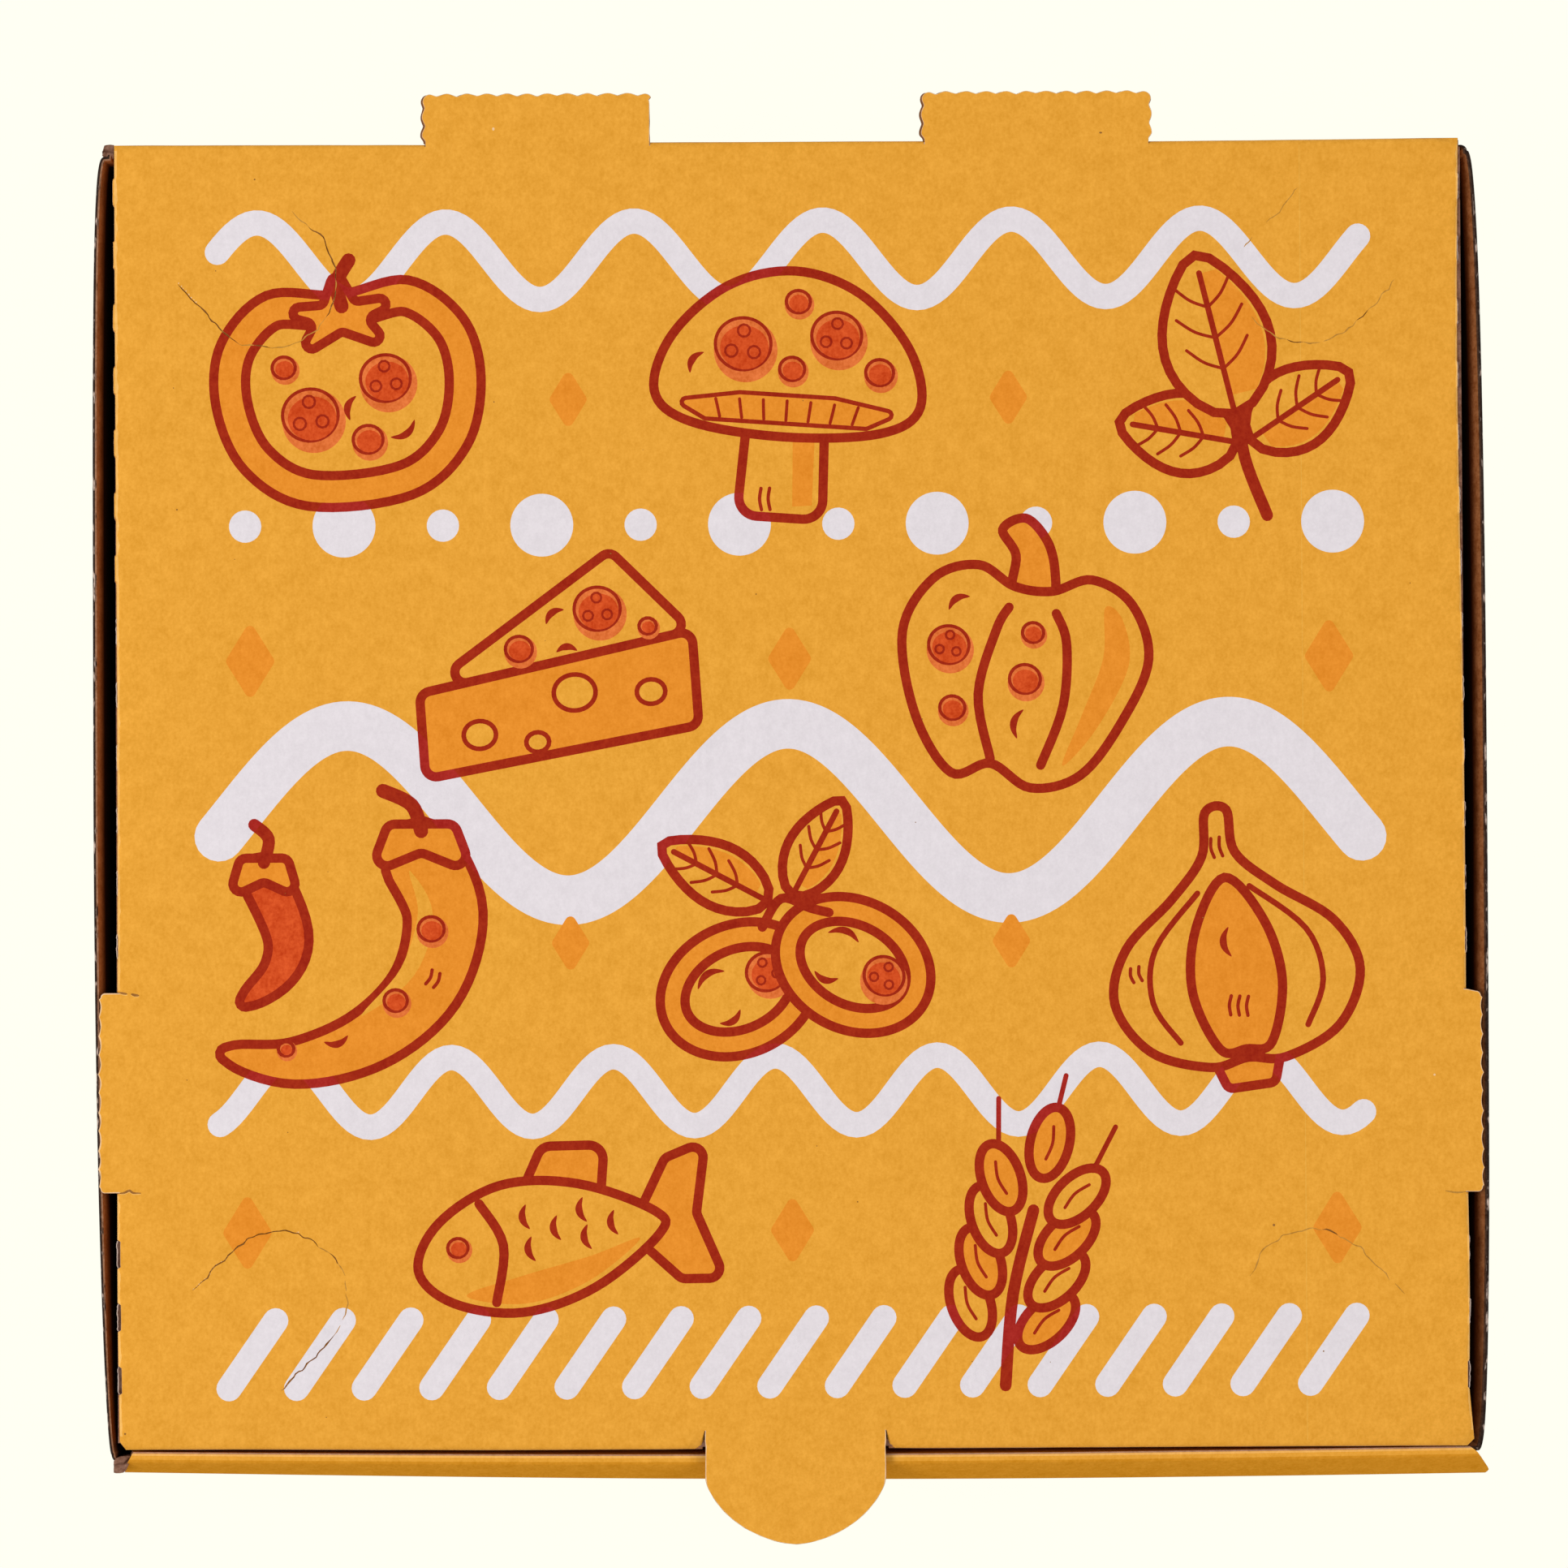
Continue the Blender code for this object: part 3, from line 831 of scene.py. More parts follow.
def basil(pen):
    pen.curve([(2, -29), (0, -16), (1, -4)], LINE * 1.25)
    leaf(pen, (0, -13), 158, 27, 17)
    leaf(pen, (1, -13), 22, 27, 17)
    leaf(pen, (0, -8), 92, 37, 23)


def pepper(pen):
    stalk = smooth([(-4, 14), (-4.5, 22), (-8, 27), (-3.5, 30), (1.5, 26), (4, 20), (4, 14)])
    pen.outline(stalk, "orange")
    pen.outline(smooth([
        (-21, 15), (-26, 3), (-21, -14), (-12, -25), (-4, -22), (5, -26), (15, -22),
        (22, -10), (26, 4), (21, 15), (12, 19), (4, 15.5), (-4, 15.5), (-12, 19),
    ]))
    side = [(11, -20.5), (17, -12), (22, 2), (19.5, 11.5), (15.5, 13.5), (16.5, 3), (13.5, -10)]
    pen.fill(smooth(side), "orange")
    pen.curve([(-4.2, -21), (-8.5, -8), (-6.5, 6), (-4.5, 11)])
    pen.curve([(6.5, -21), (9.5, -8), (8.5, 5), (5.5, 11)])
    pen.spots((-16.0, 1.5, 4.6), (0.8, -3.5, 3.6), (-13.5, -11.5, 3.0), (1.2, 6.4, 2.6))
    pen.fleck(1.0, -13.0, 85)
    pen.fleck(-15.0, 10.5, 40, 5.0)


def cheese(pen):
    pen.outline(rounded([(-29, -4), (29, 5), (29, -15), (-29, -22)], 2.4), "orange")
    pen.outline(rounded([(-29, -4), (13, 23), (29, 5)], 2.2))
    for x, y, radius in ((-17, -13.6, 3.4), (3.5, -6.2, 4.4), (19.5, -7.2, 3.0), (-5.0, -16.0, 2.4)):
        pen.outline(arc((x, y), radius, radius * 0.86), "board", THIN * 1.5)
    pen.spots((9.5, 11.0, 5.2), (-7.5, 3.8, 3.2), (19.8, 6.6, 2.2))
    pen.fleck(0.5, 10.0, 35, 4.6)
    pen.fleck(2.5, 2.6, 0, 4.2)


def garlic(pen):
    pen.outline(rounded([(-8, -20), (-5, -29), (5, -29), (8, -20)], 1.6), "orange")
    pen.outline(smooth([
        (-1.5, 29), (-3.5, 20), (-11, 12), (-22, 3), (-26, -8), (-20, -19), (-8, -24), (0, -23),
        (8, -24), (20, -19), (26, -8), (22, 3), (11, 12), (3.5, 20), (3.0, 29),
    ]))
    clove = [(0.6, 15.0), (-7.0, 5), (-9.5, -8), (-5.5, -20.5), (0, -21.2), (5.5, -20.5), (9.5, -8), (7.5, 5)]
    pen.outline(smooth(clove), "orange")
    for side in SIDES:
        pen.curve([(side * x, y) for x, y in ((5.5, 12.5), (16.0, 2), (18.0, -9), (13.5, -18))], LINE * 0.62)
    pen.ticks(-0.5, -14.0, 80, 3, 4.0)
    pen.fleck(-0.3, 1.5, 88, 6.0)
    pen.ticks(-20.5, -4.0, 95, 2, 3.0)
    pen.ticks(0.0, 19.5, 92, 2, 4.0)


def olives(pen):
    leaf(pen, (-4, 10), 152, 27, 13)
    leaf(pen, (0, 11), 62, 24, 12)
    for x, y, turn in ((-11, -8, 24), (13, -3, -28)):
        fruit = pen.within(x, y, turn)
        fruit.band(arc((0, 0), 17.0, 13.5), 3.4)
        fruit.spot(6.8, 1.0, 4.6)
        fruit.fleck(-4.5, 4.2, 10, 6.5)
        fruit.fleck(-4.0, -4.5, 190, 5.0)
    pen.curve([(-6, 5), (-2, 11), (4, 9), (8, 8)])


def pod(pen, spine, tip, width, ink):
    """A pod along its spine, wide at the first end."""
    body = ribbon(spine, lambda share: tip + width * math.cos(math.pi / 2 * share) ** 0.7)
    pen.outline(rounded_tips(body), ink)


def chilli(pen):
    spine = open_curve([(15, 20), (20, 8), (16, -7), (4, -18), (-12, -23), (-26, -21)], 8)
    pod(pen, spine, 3.0, 13.5, "orange")
    inner = open_curve([(12.6, 17), (15.8, 8), (12.0, -4), (2.5, -13)], 6)
    pen.stroke(inner, swelling(0.4, 3.4), "board")
    pen.spots((17.0, 5.0, 3.1), (9.5, -10.0, 2.8), (-13.5, -20.0, 2.0))
    pen.fleck(-3.0, -18.0, 195, 5.0)
    pen.ticks(18.0, -4.0, 245, 2, 3.2)
    pen.outline(rounded([(4, 16.5), (8, 27), (22, 27), (26, 16.5), (15, 21)], 2.2), "orange")
    pen.curve([(15, 25.5), (13, 31), (7, 34)], LINE * 1.5)
    pod(pen, open_curve([(-18, 16), (-13, 4), (-15, -4), (-22, -10)], 6), 2.6, 7.0, "spot_red")
    pen.outline(rounded([(-25.5, 11.5), (-23, 20), (-13, 20), (-10.5, 11.5), (-18, 15)], 1.7), "orange")
    pen.curve([(-18, 19), (-17, 24), (-20, 27)], LINE * 1.3)


def wheat(pen):
    pen.curve([(3, -31), (0, -12), (0, 6)], LINE * 1.25)
    for i, y in enumerate((-16, -7, 2, 11)):
        for side in SIDES:
            grain = pen.within(side * 8.2, y, 90 - side * 33)
            grain.outline(arc((0, 0), 7.4, 4.1), "orange" if (i + (side > 0)) % 2 else "board")
            grain.curve([(-3.5, 0), (0, 0.7), (3.5, 0)], THIN)
    pen.outline(arc((0, 20.5), 4.1, 7.6), "orange")
    pen.curve([(0, 17), (0.6, 20.5), (0, 24)], THIN)
    for x, foot, top in ((-12, 17, 27), (0, 28, 35), (12, 17, 27)):
        pen.curve([(x * 0.85, foot), (x * 0.95, (foot + top) / 2), (x * 1.05, top)], THIN * 1.6)


def fish(pen):
    tail = rounded([(15, -1), (25, 13), (34, 15), (29.5, 0.5), (33, -14), (24, -12.5)], 2.2)
    pen.outline(tail, "orange")
    pen.outline(rounded([(-8, 8), (0, 20), (13, 18), (10, 6)], 3.0), "orange")
    pen.outline(smooth([
        (-30, -1), (-24, 8), (-10, 13.5), (6, 11), (21, 2.5), (21, -2.5), (6, -11), (-10, -13.5), (-24, -9),
    ]))
    belly = smooth([(-21, -8.0), (-9, -11.8), (5, -9.4), (17, -2.6), (6, -4.4), (-9, -6.0)])
    pen.fill(belly, "orange")
    pen.curve([(-15, 10.5), (-11.5, 1), (-15, -10.5)])
    pen.spot(-21.0, 2.2, 2.5)
    for x, y in ((-5.5, 6.0), (-5.5, -0.8), (0.5, 2.6), (6.5, 5.4), (6.5, -0.4), (12.5, 1.6)):
        pen.fleck(x, y, 90, 5.0)


def white_print(drawing):
    """White ribbons, discs and slanted bars in rows across the lid, behind the motifs."""

    def row(count, margin=0.0):
        half = WHITE_HALF_WIDTH - margin
        return [-half + 2 * half * i / (count - 1) for i in range(count)]

    def wave(y, height, wavelength, width, phase):
        reach = (height - width) / 2
        path = [(x, y + reach * math.sin(2 * math.pi * x / wavelength + phase)) for x in row(213)]
        drawing.shape(ribbon(path, width, 10), "white")

    wave(119.0, 23.0, 42.0, WHITE_LINE, 0.4)
    wave(-4.0, 50.0, 98.0, WHITE_BROAD_LINE, 1.6)
    wave(-66.0, 21.0, 36.0, WHITE_LINE, 2.2)
    for i, x in enumerate(row(12, 6)):
        drawing.shape(arc((x, 60.0), 7.0 if i % 2 else 3.6), "white")
    for x in row(17, 7):
        drawing.shape(ribbon([(x - 5.2, -131.5), (x, -124.0), (x + 5.2, -116.5)], WHITE_LINE, 10), "white")


def orange_sparks(drawing):
    """Small plain orange lozenges in the free places beside the motifs."""
    for x, y, size in ((-120, 30, 9), (120, 30, 9), (0, 30, 8), (-121, -97, 9), (121, -97, 9), (0, -97, 8),
                       (-49, 88, 7), (49, 88, 7), (-49, -33, 7), (49, -33, 7)):
        corners = [(x, y + size), (x - size * 0.62, y), (x, y - size), (x + size * 0.62, y)]
        drawing.shape(rounded(corners, 1.2), "orange")


def motif_print(drawing):
    """Ten line drawings of pizza toppings in staggered rows."""
    rows = (
        (91.0, ((-98, tomato, 6), (0, mushroom, -4), (98, basil, 12))),
        (29.0, ((-52, cheese, 4), (52, pepper, -8))),
        (-35.0, ((-98, chilli, 0), (0, olives, 0), (98, garlic, 8))),
        (-99.0, ((-52, fish, 10), (52, wheat, -14))),
    )
    for y, motifs in rows:
        for x, motif, turn in motifs:
            motif(Pen(drawing, (x, y), turn, MOTIF_SIZE))


# Marks of use and of the knife

def crack(drawing, path, seed, depths):
    """A fine ragged cut: a groove that wanders and swells along a path. depths says how deep it is at even
    steps along the path: a shallow one is a faint line, the shallowest don't show, and a deep one has pale
    burrs."""

    def strayed(value, x, y, shift):
        return value + 0.4 * wobble(x, y, 2.2, seed + shift) + 0.4 * wobble(x, y, 6.0, seed + shift)

    ragged = [(strayed(x, x, y, 0), strayed(y, x, y, 7)) for x, y in dense(path, 0.9)]
    inks, widths = [], []
    for i, (x, y) in enumerate(ragged):
        place = i / (len(ragged) - 1) * (len(depths) - 1)
        k = min(int(place), len(depths) - 2)
        depth = depths[k] + (depths[k + 1] - depths[k]) * (place - k) + 0.3 * wobble(i, seed * 10, 6.0)
        inks.append("crack" if depth > 0.55 else "faint_crack" if depth > 0.18 else "none")
        widths.append(CRACK_WIDTH * (0.6 + 0.45 * depth) * (0.55 + 0.6 * abs(wobble(x, y, 1.7, seed + 3))))
        if depth > 0.95:
            drawing.shape(arc((x + 0.2, y + 0.24), 0.13 + 0.05 * wobble(x, y, 0.7)), "edge_pale")
    start = 0
    for end in range(1, len(inks) + 1):
        if end == len(inks) or inks[end] != inks[start]:
            run = ragged[start:end + 1]
            if inks[start] != "none" and len(run) > 3:
                last = len(run) - 1

                def swell(share, first=start, last=last):
                    taper = min(1.0, 6 * share + 0.3, 6.3 - 6 * share)
                    return max(0.08, widths[first + round(share * last)] * taper)

                drawing.shape(ribbon(run, swell, 3), inks[start])
                drawing.line(run[1:-1], groove=inks[start] == "crack")
            start = end


def ear_cuts(drawing):
    """The horseshoe cut near each corner of the lid, open towards the corner, with two straight tails."""
    for side, end, inwards, shift, arc_end, first_tail, last_tail, depths in EARS:
        centre_x = side * (LID_HALF_WIDTH - EAR_INSET[0] - inwards)
        centre_y = end * (LID_HALF_DEPTH - EAR_INSET[1]) + shift
        path = []
        for step in range(EAR_STEPS + 1):
            angle = math.radians(EAR_START + (arc_end - EAR_START) * step / EAR_STEPS)
            path.append(around((centre_x, centre_y), angle, -side * EAR_RADIUS, end * EAR_RADIUS))
        first, last = first_tail / math.sqrt(2), last_tail / math.sqrt(2)
        head = (path[0][0] + side * first, path[0][1] + end * first)
        tail = (path[-1][0] + side * last, path[-1][1] + end * last)
        crack(drawing, [head] + path + [tail], 5.0 + 3 * side + 5 * end, depths)


def dash(drawing, path, width, ink):
    """A short stroke, whose ends need few points."""
    drawing.shape(ribbon(path, width, 4), ink)


def tab_end_dashes(drawing):
    """The short cuts that run on inwards from the ends of the side tabs. Each one looks different."""
    near, far = SIDE_TABS[-1]
    dashes = (  # the tab's end, a width, and points measured from the lid's left side and from that end
        (far, 0.4, ((0.7, 0.1), (1.6, -0.1), (2.5, -0.25))),
        (far, 0.5, ((3.3, -0.25), (4.2, -0.5), (5.1, -0.6))),
        (near, 0.42, ((0.6, 0.0), (1.7, 0.15), (2.8, 0.6), (3.7, 0.1), (5.4, 0.05))),
    )
    for end, width, knots in dashes:
        curve = open_curve([(x - LID_HALF_WIDTH, end + y) for x, y in knots], 5)
        dash(drawing, [(x, y - 0.24) for x, y in curve], swelling(0.1, 0.3), "worn")
        dash(drawing, curve, swelling(0.1, width, 0.6), "crack")
    near = SIDE_TABS[1][0]
    faint = [(LID_HALF_WIDTH - x, near + y) for x, y in ((0.4, 0.0), (2.6, -0.15), (5.0, 0.25))]
    dash(drawing, open_curve(faint, 6), swelling(0.12, 0.32), "faint_crack")


def worn_edges(drawing):
    """Ragged light strips where the print has cracked along the side folds."""
    for side, width in WORN_WIDTH.items():
        for near, far in ((FRONT + 3, SIDE_TABS[side][0] - 0.5), (SIDE_TABS[side][1] + 0.5, REAR - 1)):
            count = round((far - near) / 1.1)
            ys = [near + (far - near) * i / count for i in range(count + 1)]
            outer = [lid_edge(side, 0.02, y) for y in ys]
            inner = [lid_edge(side, width * (1 + 0.5 * wobble(side * 9, y, 2.2, 4.0)), y) for y in ys]
            drawing.shape(outer + inner[::-1], "worn")


def crease(drawing):
    """A faint crease right across the board, under the print."""
    drawing.shape([(113.95, FRONT + 1), (114.15, FRONT + 1), (114.2, REAR - 1), (114.0, REAR - 1)], "crease")


def specks(drawing):
    """A few fibres and specks in the paper."""
    for place, radius_x, radius_y, ink in (
        ((-65.4, 148.4), 0.28, 0.36, "edge_pale"), ((69.9, 146.9), 0.34, 0.22, "speck"),
        ((106.9, -96.4), 0.3, 0.3, "crack"), ((142.8, -63.2), 0.24, 0.24, "edge_pale"),
        ((-148.3, -141.4), 0.25, 0.25, "speck"),
    ):
        drawing.shape(arc(place, radius_x, radius_y), ink)
    for _ in range(26):
        x = random.uniform(-145, 145)
        y = random.uniform(-141, 141)
        drawing.shape(arc((x, y), random.uniform(0.08, 0.2)), "speck")


def fold_points(drawing):
    """Lines of points close to each fold, so that it bends smoothly, and at each slot's and tab's ends."""
    beside_cut = (-0.05, 0.05)
    xs = [3.9 * i for i in range(-37, 38)]
    for reach in (REAR_TAB_HALF_WIDTH + step for step in beside_cut):
        xs += [side * (REAR_TAB_CENTRE + end * reach) for side in SIDES for end in (-1, 1)]
    ys = [4.7 * i for i in range(-30, 31)]
    ys += [y + step for ends in SIDE_TABS.values() for y in ends for step in beside_cut]
    for inset in (0.12, 0.4, 0.78, FOLD_RADIUS):
        for side in SIDES:
            drawing.line([lid_edge(side, inset, y) for y in sorted(ys)])
        drawing.line([(x, lid_rear(x) - inset) for x in sorted(xs)])
        for side in SIDES:
            run = [x for x in sorted(xs) if side * (x - THUMB_CENTRE) > THUMB_HALF_WIDTH + 0.9]
            drawing.line([(x, lid_front(x) + inset) for x in run])
    for start, end in FOLD_SLOTS:
        for y in (start, start + SLOT_RAMP, end - SLOT_RAMP, end):
            for side in SIDES:
                drawing.line([lid_edge(side, inset, y) for inset in (0.02, FOLD_RADIUS)])
    for side in SIDES:
        for beside in (1.1, 1.9, 3.0, 4.4):
            x = THUMB_CENTRE + side * (THUMB_HALF_WIDTH + beside)
            drawing.line([(x, FRONT + k * 0.9) for k in range(1, 7)])


def lattice_points(drawing):
    """Loose points all over the lid that carry its sag."""
    columns = int(2 * LID_HALF_WIDTH / LATTICE) - 1
    rows = int(2 * LID_HALF_DEPTH / LATTICE) - 1
    for i in range(columns):
        for j in range(rows):
            x = (i - (columns - 1) / 2) * LATTICE
            y = (j - (rows - 1) / 2) * LATTICE
            drawing.points.append((x + 0.13, y + 0.07))


# Pieces of the lid

def print_inset(x, y):
    """How far the print stops short of the lid's edge: not at the folds, and widely on the torn tabs."""
    frayed = 0.75 + 0.45 * wobble(x, y, 2.4, 2.0)
    if abs(x) > LID_HALF_WIDTH - 0.9 and on_side_tab(x, y):
        return -EDGE_PAPER * frayed * (1.0 if x < 0 else 0.6)
    if abs(x - THUMB_CENTRE) < THUMB_HALF_WIDTH + 0.15 and y < FRONT + THUMB_SLIT + 0.1:
        return -EDGE_PAPER * frayed * (0.8 if y > FRONT - 8 else 0.3)
    if y > REAR + 0.5:
        return -EDGE_PAPER * frayed * 0.3
    return -0.01


def lid_top():
    """The printed outer paper of the lid, with all its ink as faces of one mesh."""
    outline = lid_outline()
    drawing = Drawing(outline, "edge_pale")
    drawing.shape(offset(outline, print_inset), "board")
    worn_edges(drawing)
    crease(drawing)
    white_print(drawing)
    orange_sparks(drawing)
    motif_print(drawing)
    specks(drawing)
    ear_cuts(drawing)
    tab_end_dashes(drawing)
    fold_points(drawing)
    lattice_points(drawing)

    def upper(x, y, pressed, out):
        return (x, y, lid_height(x, y) - (CRACK_DEPTH if pressed else 0.0))

    def lower(x, y, pressed, out):
        fray = FRAY * (1 + 0.6 * wobble(x, y, 1.5, 6.0)) * 0.6
        height = lid_height(x, y) - LINER - (CRACK_DEPTH if pressed else 0.0)
        return (x + out.x * fray, y + out.y * fray, height)

    return closed_sheet("lid_top", drawing, upper, lower, "cut_paper", "kraft")


def lid_lining():
    """The brown inner paper of the lid. On the rear tabs it peeks out on the left and along the edge."""
    drawing = Drawing(offset(lid_outline(), -0.05), "kraft")
    lattice_points(drawing)

    def surface(x, y, out, drop):
        peek = 0.14 + 0.1 * wobble(x, y, 3.0, 9.0) if y > REAR + 0.3 else 0.0
        shift = -0.42 if y > REAR + 0.3 and out.x < -0.2 else 0.0
        return (x + shift + out.x * peek, y + min(out.y * peek, 0.14), face_height(x, y) - drop)

    return closed_sheet(
        "lid_lining", drawing,
        lambda x, y, pressed, out: surface(x, y, out, BOARD - LINER),
        lambda x, y, pressed, out: surface(x, y, out, BOARD),
        "kraft_edge", "kraft",
    )


def flute_height(x, y):
    """Height of the wavy paper's middle inside a tab."""
    swing = (BOARD - 2 * LINER - FLUTE_PAPER) / 2 * 0.9
    return face_height(x, y) - BOARD / 2 + swing * math.sin(2 * math.pi * x / FLUTE_PITCH)


def flutes(name, start, end, edge_at, root):
    """The wavy paper inside a tab, from its root out to the cut edge that edge_at(x) gives."""
    count = round((end - start) / (FLUTE_PITCH / 14))
    half = FLUTE_PAPER / 2
    sections = []
    for i in range(count + 1):
        x = start + (end - start) * i / count
        edge = edge_at(x)
        out, back = flute_height(x, edge), flute_height(x, root)
        lower = [(x, root, back - half), (x, edge, out - half)]
        sections.append(lower + [(x, edge, out + half), (x, root, back + half)])
    return loft(name, sections, ["kraft", "kraft_edge", "kraft", "kraft"])


def edge_reader(points, inset):
    """A function that gives the y of a run of outline points at any x, drawn back by an inset."""
    ordered = sorted(points)

    def edge_at(x):
        for a, b in zip(ordered, ordered[1:]):
            if a[0] <= x <= b[0] and b[0] > a[0]:
                y = a[1] + (b[1] - a[1]) * (x - a[0]) / (b[0] - a[0])
                return y - math.copysign(inset, y)
        return ordered[0][1]

    return edge_at


def tab_flutes():
    """The wavy paper that shows in the cut edges of the tabs."""
    pieces = []
    half = REAR_TAB_HALF_WIDTH - TAB_RADIUS
    for side, name in SIDES.items():
        centre = side * REAR_TAB_CENTRE
        outer = [p for p in rear_tab_edge(side) if p[1] > REAR + REAR_TAB_REACH - 2 * WAVE_DEPTH]
        reader = edge_reader(outer, 0.12)
        pieces.append(flutes(f"flutes_rear_{name}", centre - half, centre + half, reader, REAR - 1.5))
    outer = [p for p in thumb_tab() if p[1] < FRONT - THUMB_STRAIGHT + 0.01]
    start, end = THUMB_CENTRE - THUMB_HALF_WIDTH + 0.4, THUMB_CENTRE + THUMB_HALF_WIDTH - 0.4
    pieces.append(flutes("flutes_thumb", start, end, edge_reader(outer, 0.15), FRONT + 1.5))
    return pieces


def slot_edges():
    """The rough cut edges of the board in the slots of the side folds, pale at their rim where torn."""
    pieces = []
    low, inner = LID_TOP - BOARD + 0.05, LID_HALF_WIDTH - 1.4
    for side, name in SIDES.items():
        for i, (start, end) in enumerate(FOLD_SLOTS):
            torn = slot_reach(side, start) < 0
            reach = 0.16 if torn else slot_reach(side, start) - 0.14
            top = LID_TOP - LINER - (0.12 if torn else 0.3)
            sections = []
            for k in range(13):
                y = start + 0.3 + (end - start - 0.6) * k / 12
                fade = min(1.0, 3 * math.sin(math.pi * (k + 1) / 14))
                proud = LID_HALF_WIDTH - 0.5 + (0.5 + reach + 0.12 * wobble(side * 30, y, 0.9, 5.0)) * fade
                corners = [(inner, top), (proud - 0.22, top), (proud, top - 0.25), (proud, low), (inner, low)]
                sections.append([(lid_side(x, y, side), y, z) for x, z in corners])
            rim = "pale_fleck" if torn else "torn_edge"
            slots = ["torn_edge", rim, "torn_edge", "kraft_edge", "kraft_edge"]
            pieces.append(loft(f"slot_edge_{name}_{i}", sections, slots, "torn_edge", side))
    return pieces


def hanging_flaps():
    """The lid's side and front flaps, which hang inside the walls."""
    pieces = []
    top = LID_TOP - FOLD_RADIUS - 0.05
    face = LID_HALF_WIDTH - 0.05
    for side, name in SIDES.items():
        sections = []
        for i in range(FLAP_STEPS + 1):
            y = FRONT + 1.5 + (2 * LID_HALF_DEPTH - 3.0) * i / FLAP_STEPS
            foot = face - (0.5 + 0.3 * wobble(side * 50, y, 60.0, 2.0))
            profile = [(face, top), (foot, FLAP_FOOT), (foot - BOARD, FLAP_FOOT), (face - BOARD, top)]
            sections.append([(x, y, z) for x, z in profile])
        slots = ["board", "kraft_edge", "kraft", "kraft_edge"]
        pieces.append(loft(f"lid_flap_{name}", sections, slots, side=side))
    face = FRONT + 0.05
    sections = []
    for i in range(FLAP_STEPS + 1):
        x = (LID_HALF_WIDTH - 2.5) * (2 * i / FLAP_STEPS - 1)
        foot = face + (0.4 + 0.2 * wobble(x, 5.0, 60.0, 2.0))
        profile = [(face, top), (face + BOARD, top), (foot + BOARD, FLAP_FOOT), (foot, FLAP_FOOT)]
        sections.append([(x, y, z) for y, z in profile])
    pieces.append(loft("lid_flap_front", sections, ["kraft_edge", "kraft", "kraft_edge", "board"]))
    return pieces


# Pieces of the tray

def wall_path(corner_half_width, bow, side):
    """A wall's outer face from above, as if on the right, from its front flap's end to its rear flap's."""
    near, far = FRONT_FACE + BOARD + 0.1, WALL_REAR[side]
    radius = CORNER_RADIUS[side]
    centre_x = corner_half_width - radius
    turn = [math.pi / 2 * step / CORNER_STEPS for step in range(CORNER_STEPS + 1)]
    front = [(centre_x + radius * math.sin(a), near + radius * (1 - math.cos(a))) for a in turn]
    rear = [(centre_x + radius * math.cos(a), far - radius * (1 - math.sin(a))) for a in turn]
    front_fullness, rear_fullness = WALL_FULLNESS[side]
    points = []
    for step in range(1, WALL_STEPS):
        share = (1 - math.cos(math.pi * step / WALL_STEPS)) / 2
        y = front[-1][1] + (rear[0][1] - front[-1][1]) * share
        fullness = front_fullness if share < 0.5 else rear_fullness
        swell = (1 - abs(2 * share - 1) ** fullness) ** (1 / fullness)
        points.append((corner_half_width + bow * swell, y))
    return [(CORNER_FLAP_END, near)] + front + points + rear + [(CORNER_FLAP_END, far - FLAP_TUCK)]


def side_wall(side):
    """A side wall with its corner flaps. Its top edge shows both papers of the board, and its bare inner face
    leans out so far that it catches the light just below the edge. The right one leans more. Shade is also
    painted: dark on the outer rim of the top edge, near black low in the inner face, and the right wall's
    papers are darker copies."""
    (edge, kraft), lean = WALL_PAPERS[side], WALL_LEAN[side]
    profile = (  # depth inside the outer face, height, paper
        (0.0, FOOT_RADIUS, "board"), (0.0, 10.0, "board"), (0.0, 20.0, "board"), (0.0, 30.0, "board"),
        (0.0, 39.6, "dark_edge"), (0.3, 40.0, "dark_edge"), (0.62, WALL_TOP, edge),
        (1.0, WALL_TOP, kraft), (1.25 * lean, 39.7, kraft), (1.55 * lean, 38.8, kraft),
        (1.85 * lean, 37.4, kraft), (2.1 * lean, 34.5, "deep_shade"), (2.2 * lean, 30.0, "deep_shade"),
        (BOARD, 20.0, "deep_shade"), (BOARD, 0.4, "board"), (FOOT_RADIUS, 0.0, "board"),
        (FOOT_RADIUS * 0.29, FOOT_RADIUS * 0.29, "board"),
    )
    foot = wall_path(TRAY_HALF_WIDTH, 0.0, side)
    top = wall_path(WALL_TOP_HALF_WIDTH, WALL_BOW, side)
    last_side_point = len(top) - CORNER_STEPS - 2
    sections = []
    for i, (low, high, outward) in enumerate(zip(foot, top, side_normals(top, False))):
        before_corner = 1 - i / (CORNER_STEPS + 1)
        after_corner = (i - last_side_point) / (CORNER_STEPS + 1)
        near_corner = max(0.0, before_corner, after_corner)
        tucked = min(1.0, max(0.0, (-88 - high[1]) / 45))
        leaned = 1 - 0.12 * tucked if side < 0 else 1 + 0.14 * max(0.0, -high[1] / LID_HALF_DEPTH)
        lowered = 1 - 0.05 * near_corner - 0.04 * tucked
        crushed = 1 - 0.45 * near_corner
        section = []
        for depth, z, _ in profile:
            share = z / WALL_TOP
            dent = 0.15 * (1 + wobble(high[1], z, 30.0, side * 4.0)) * math.sin(math.pi * min(1.0, share))
            inner = depth * crushed * leaned + dent
            x = low[0] + (high[0] - low[0]) * share - outward.x * inner
            y = low[1] + (high[1] - low[1]) * share - outward.y * inner
            section.append((x, y, z * lowered))
        sections.append(section)
    return loft(f"wall_{SIDES[side]}", sections, [slot for _, _, slot in profile], side=side)


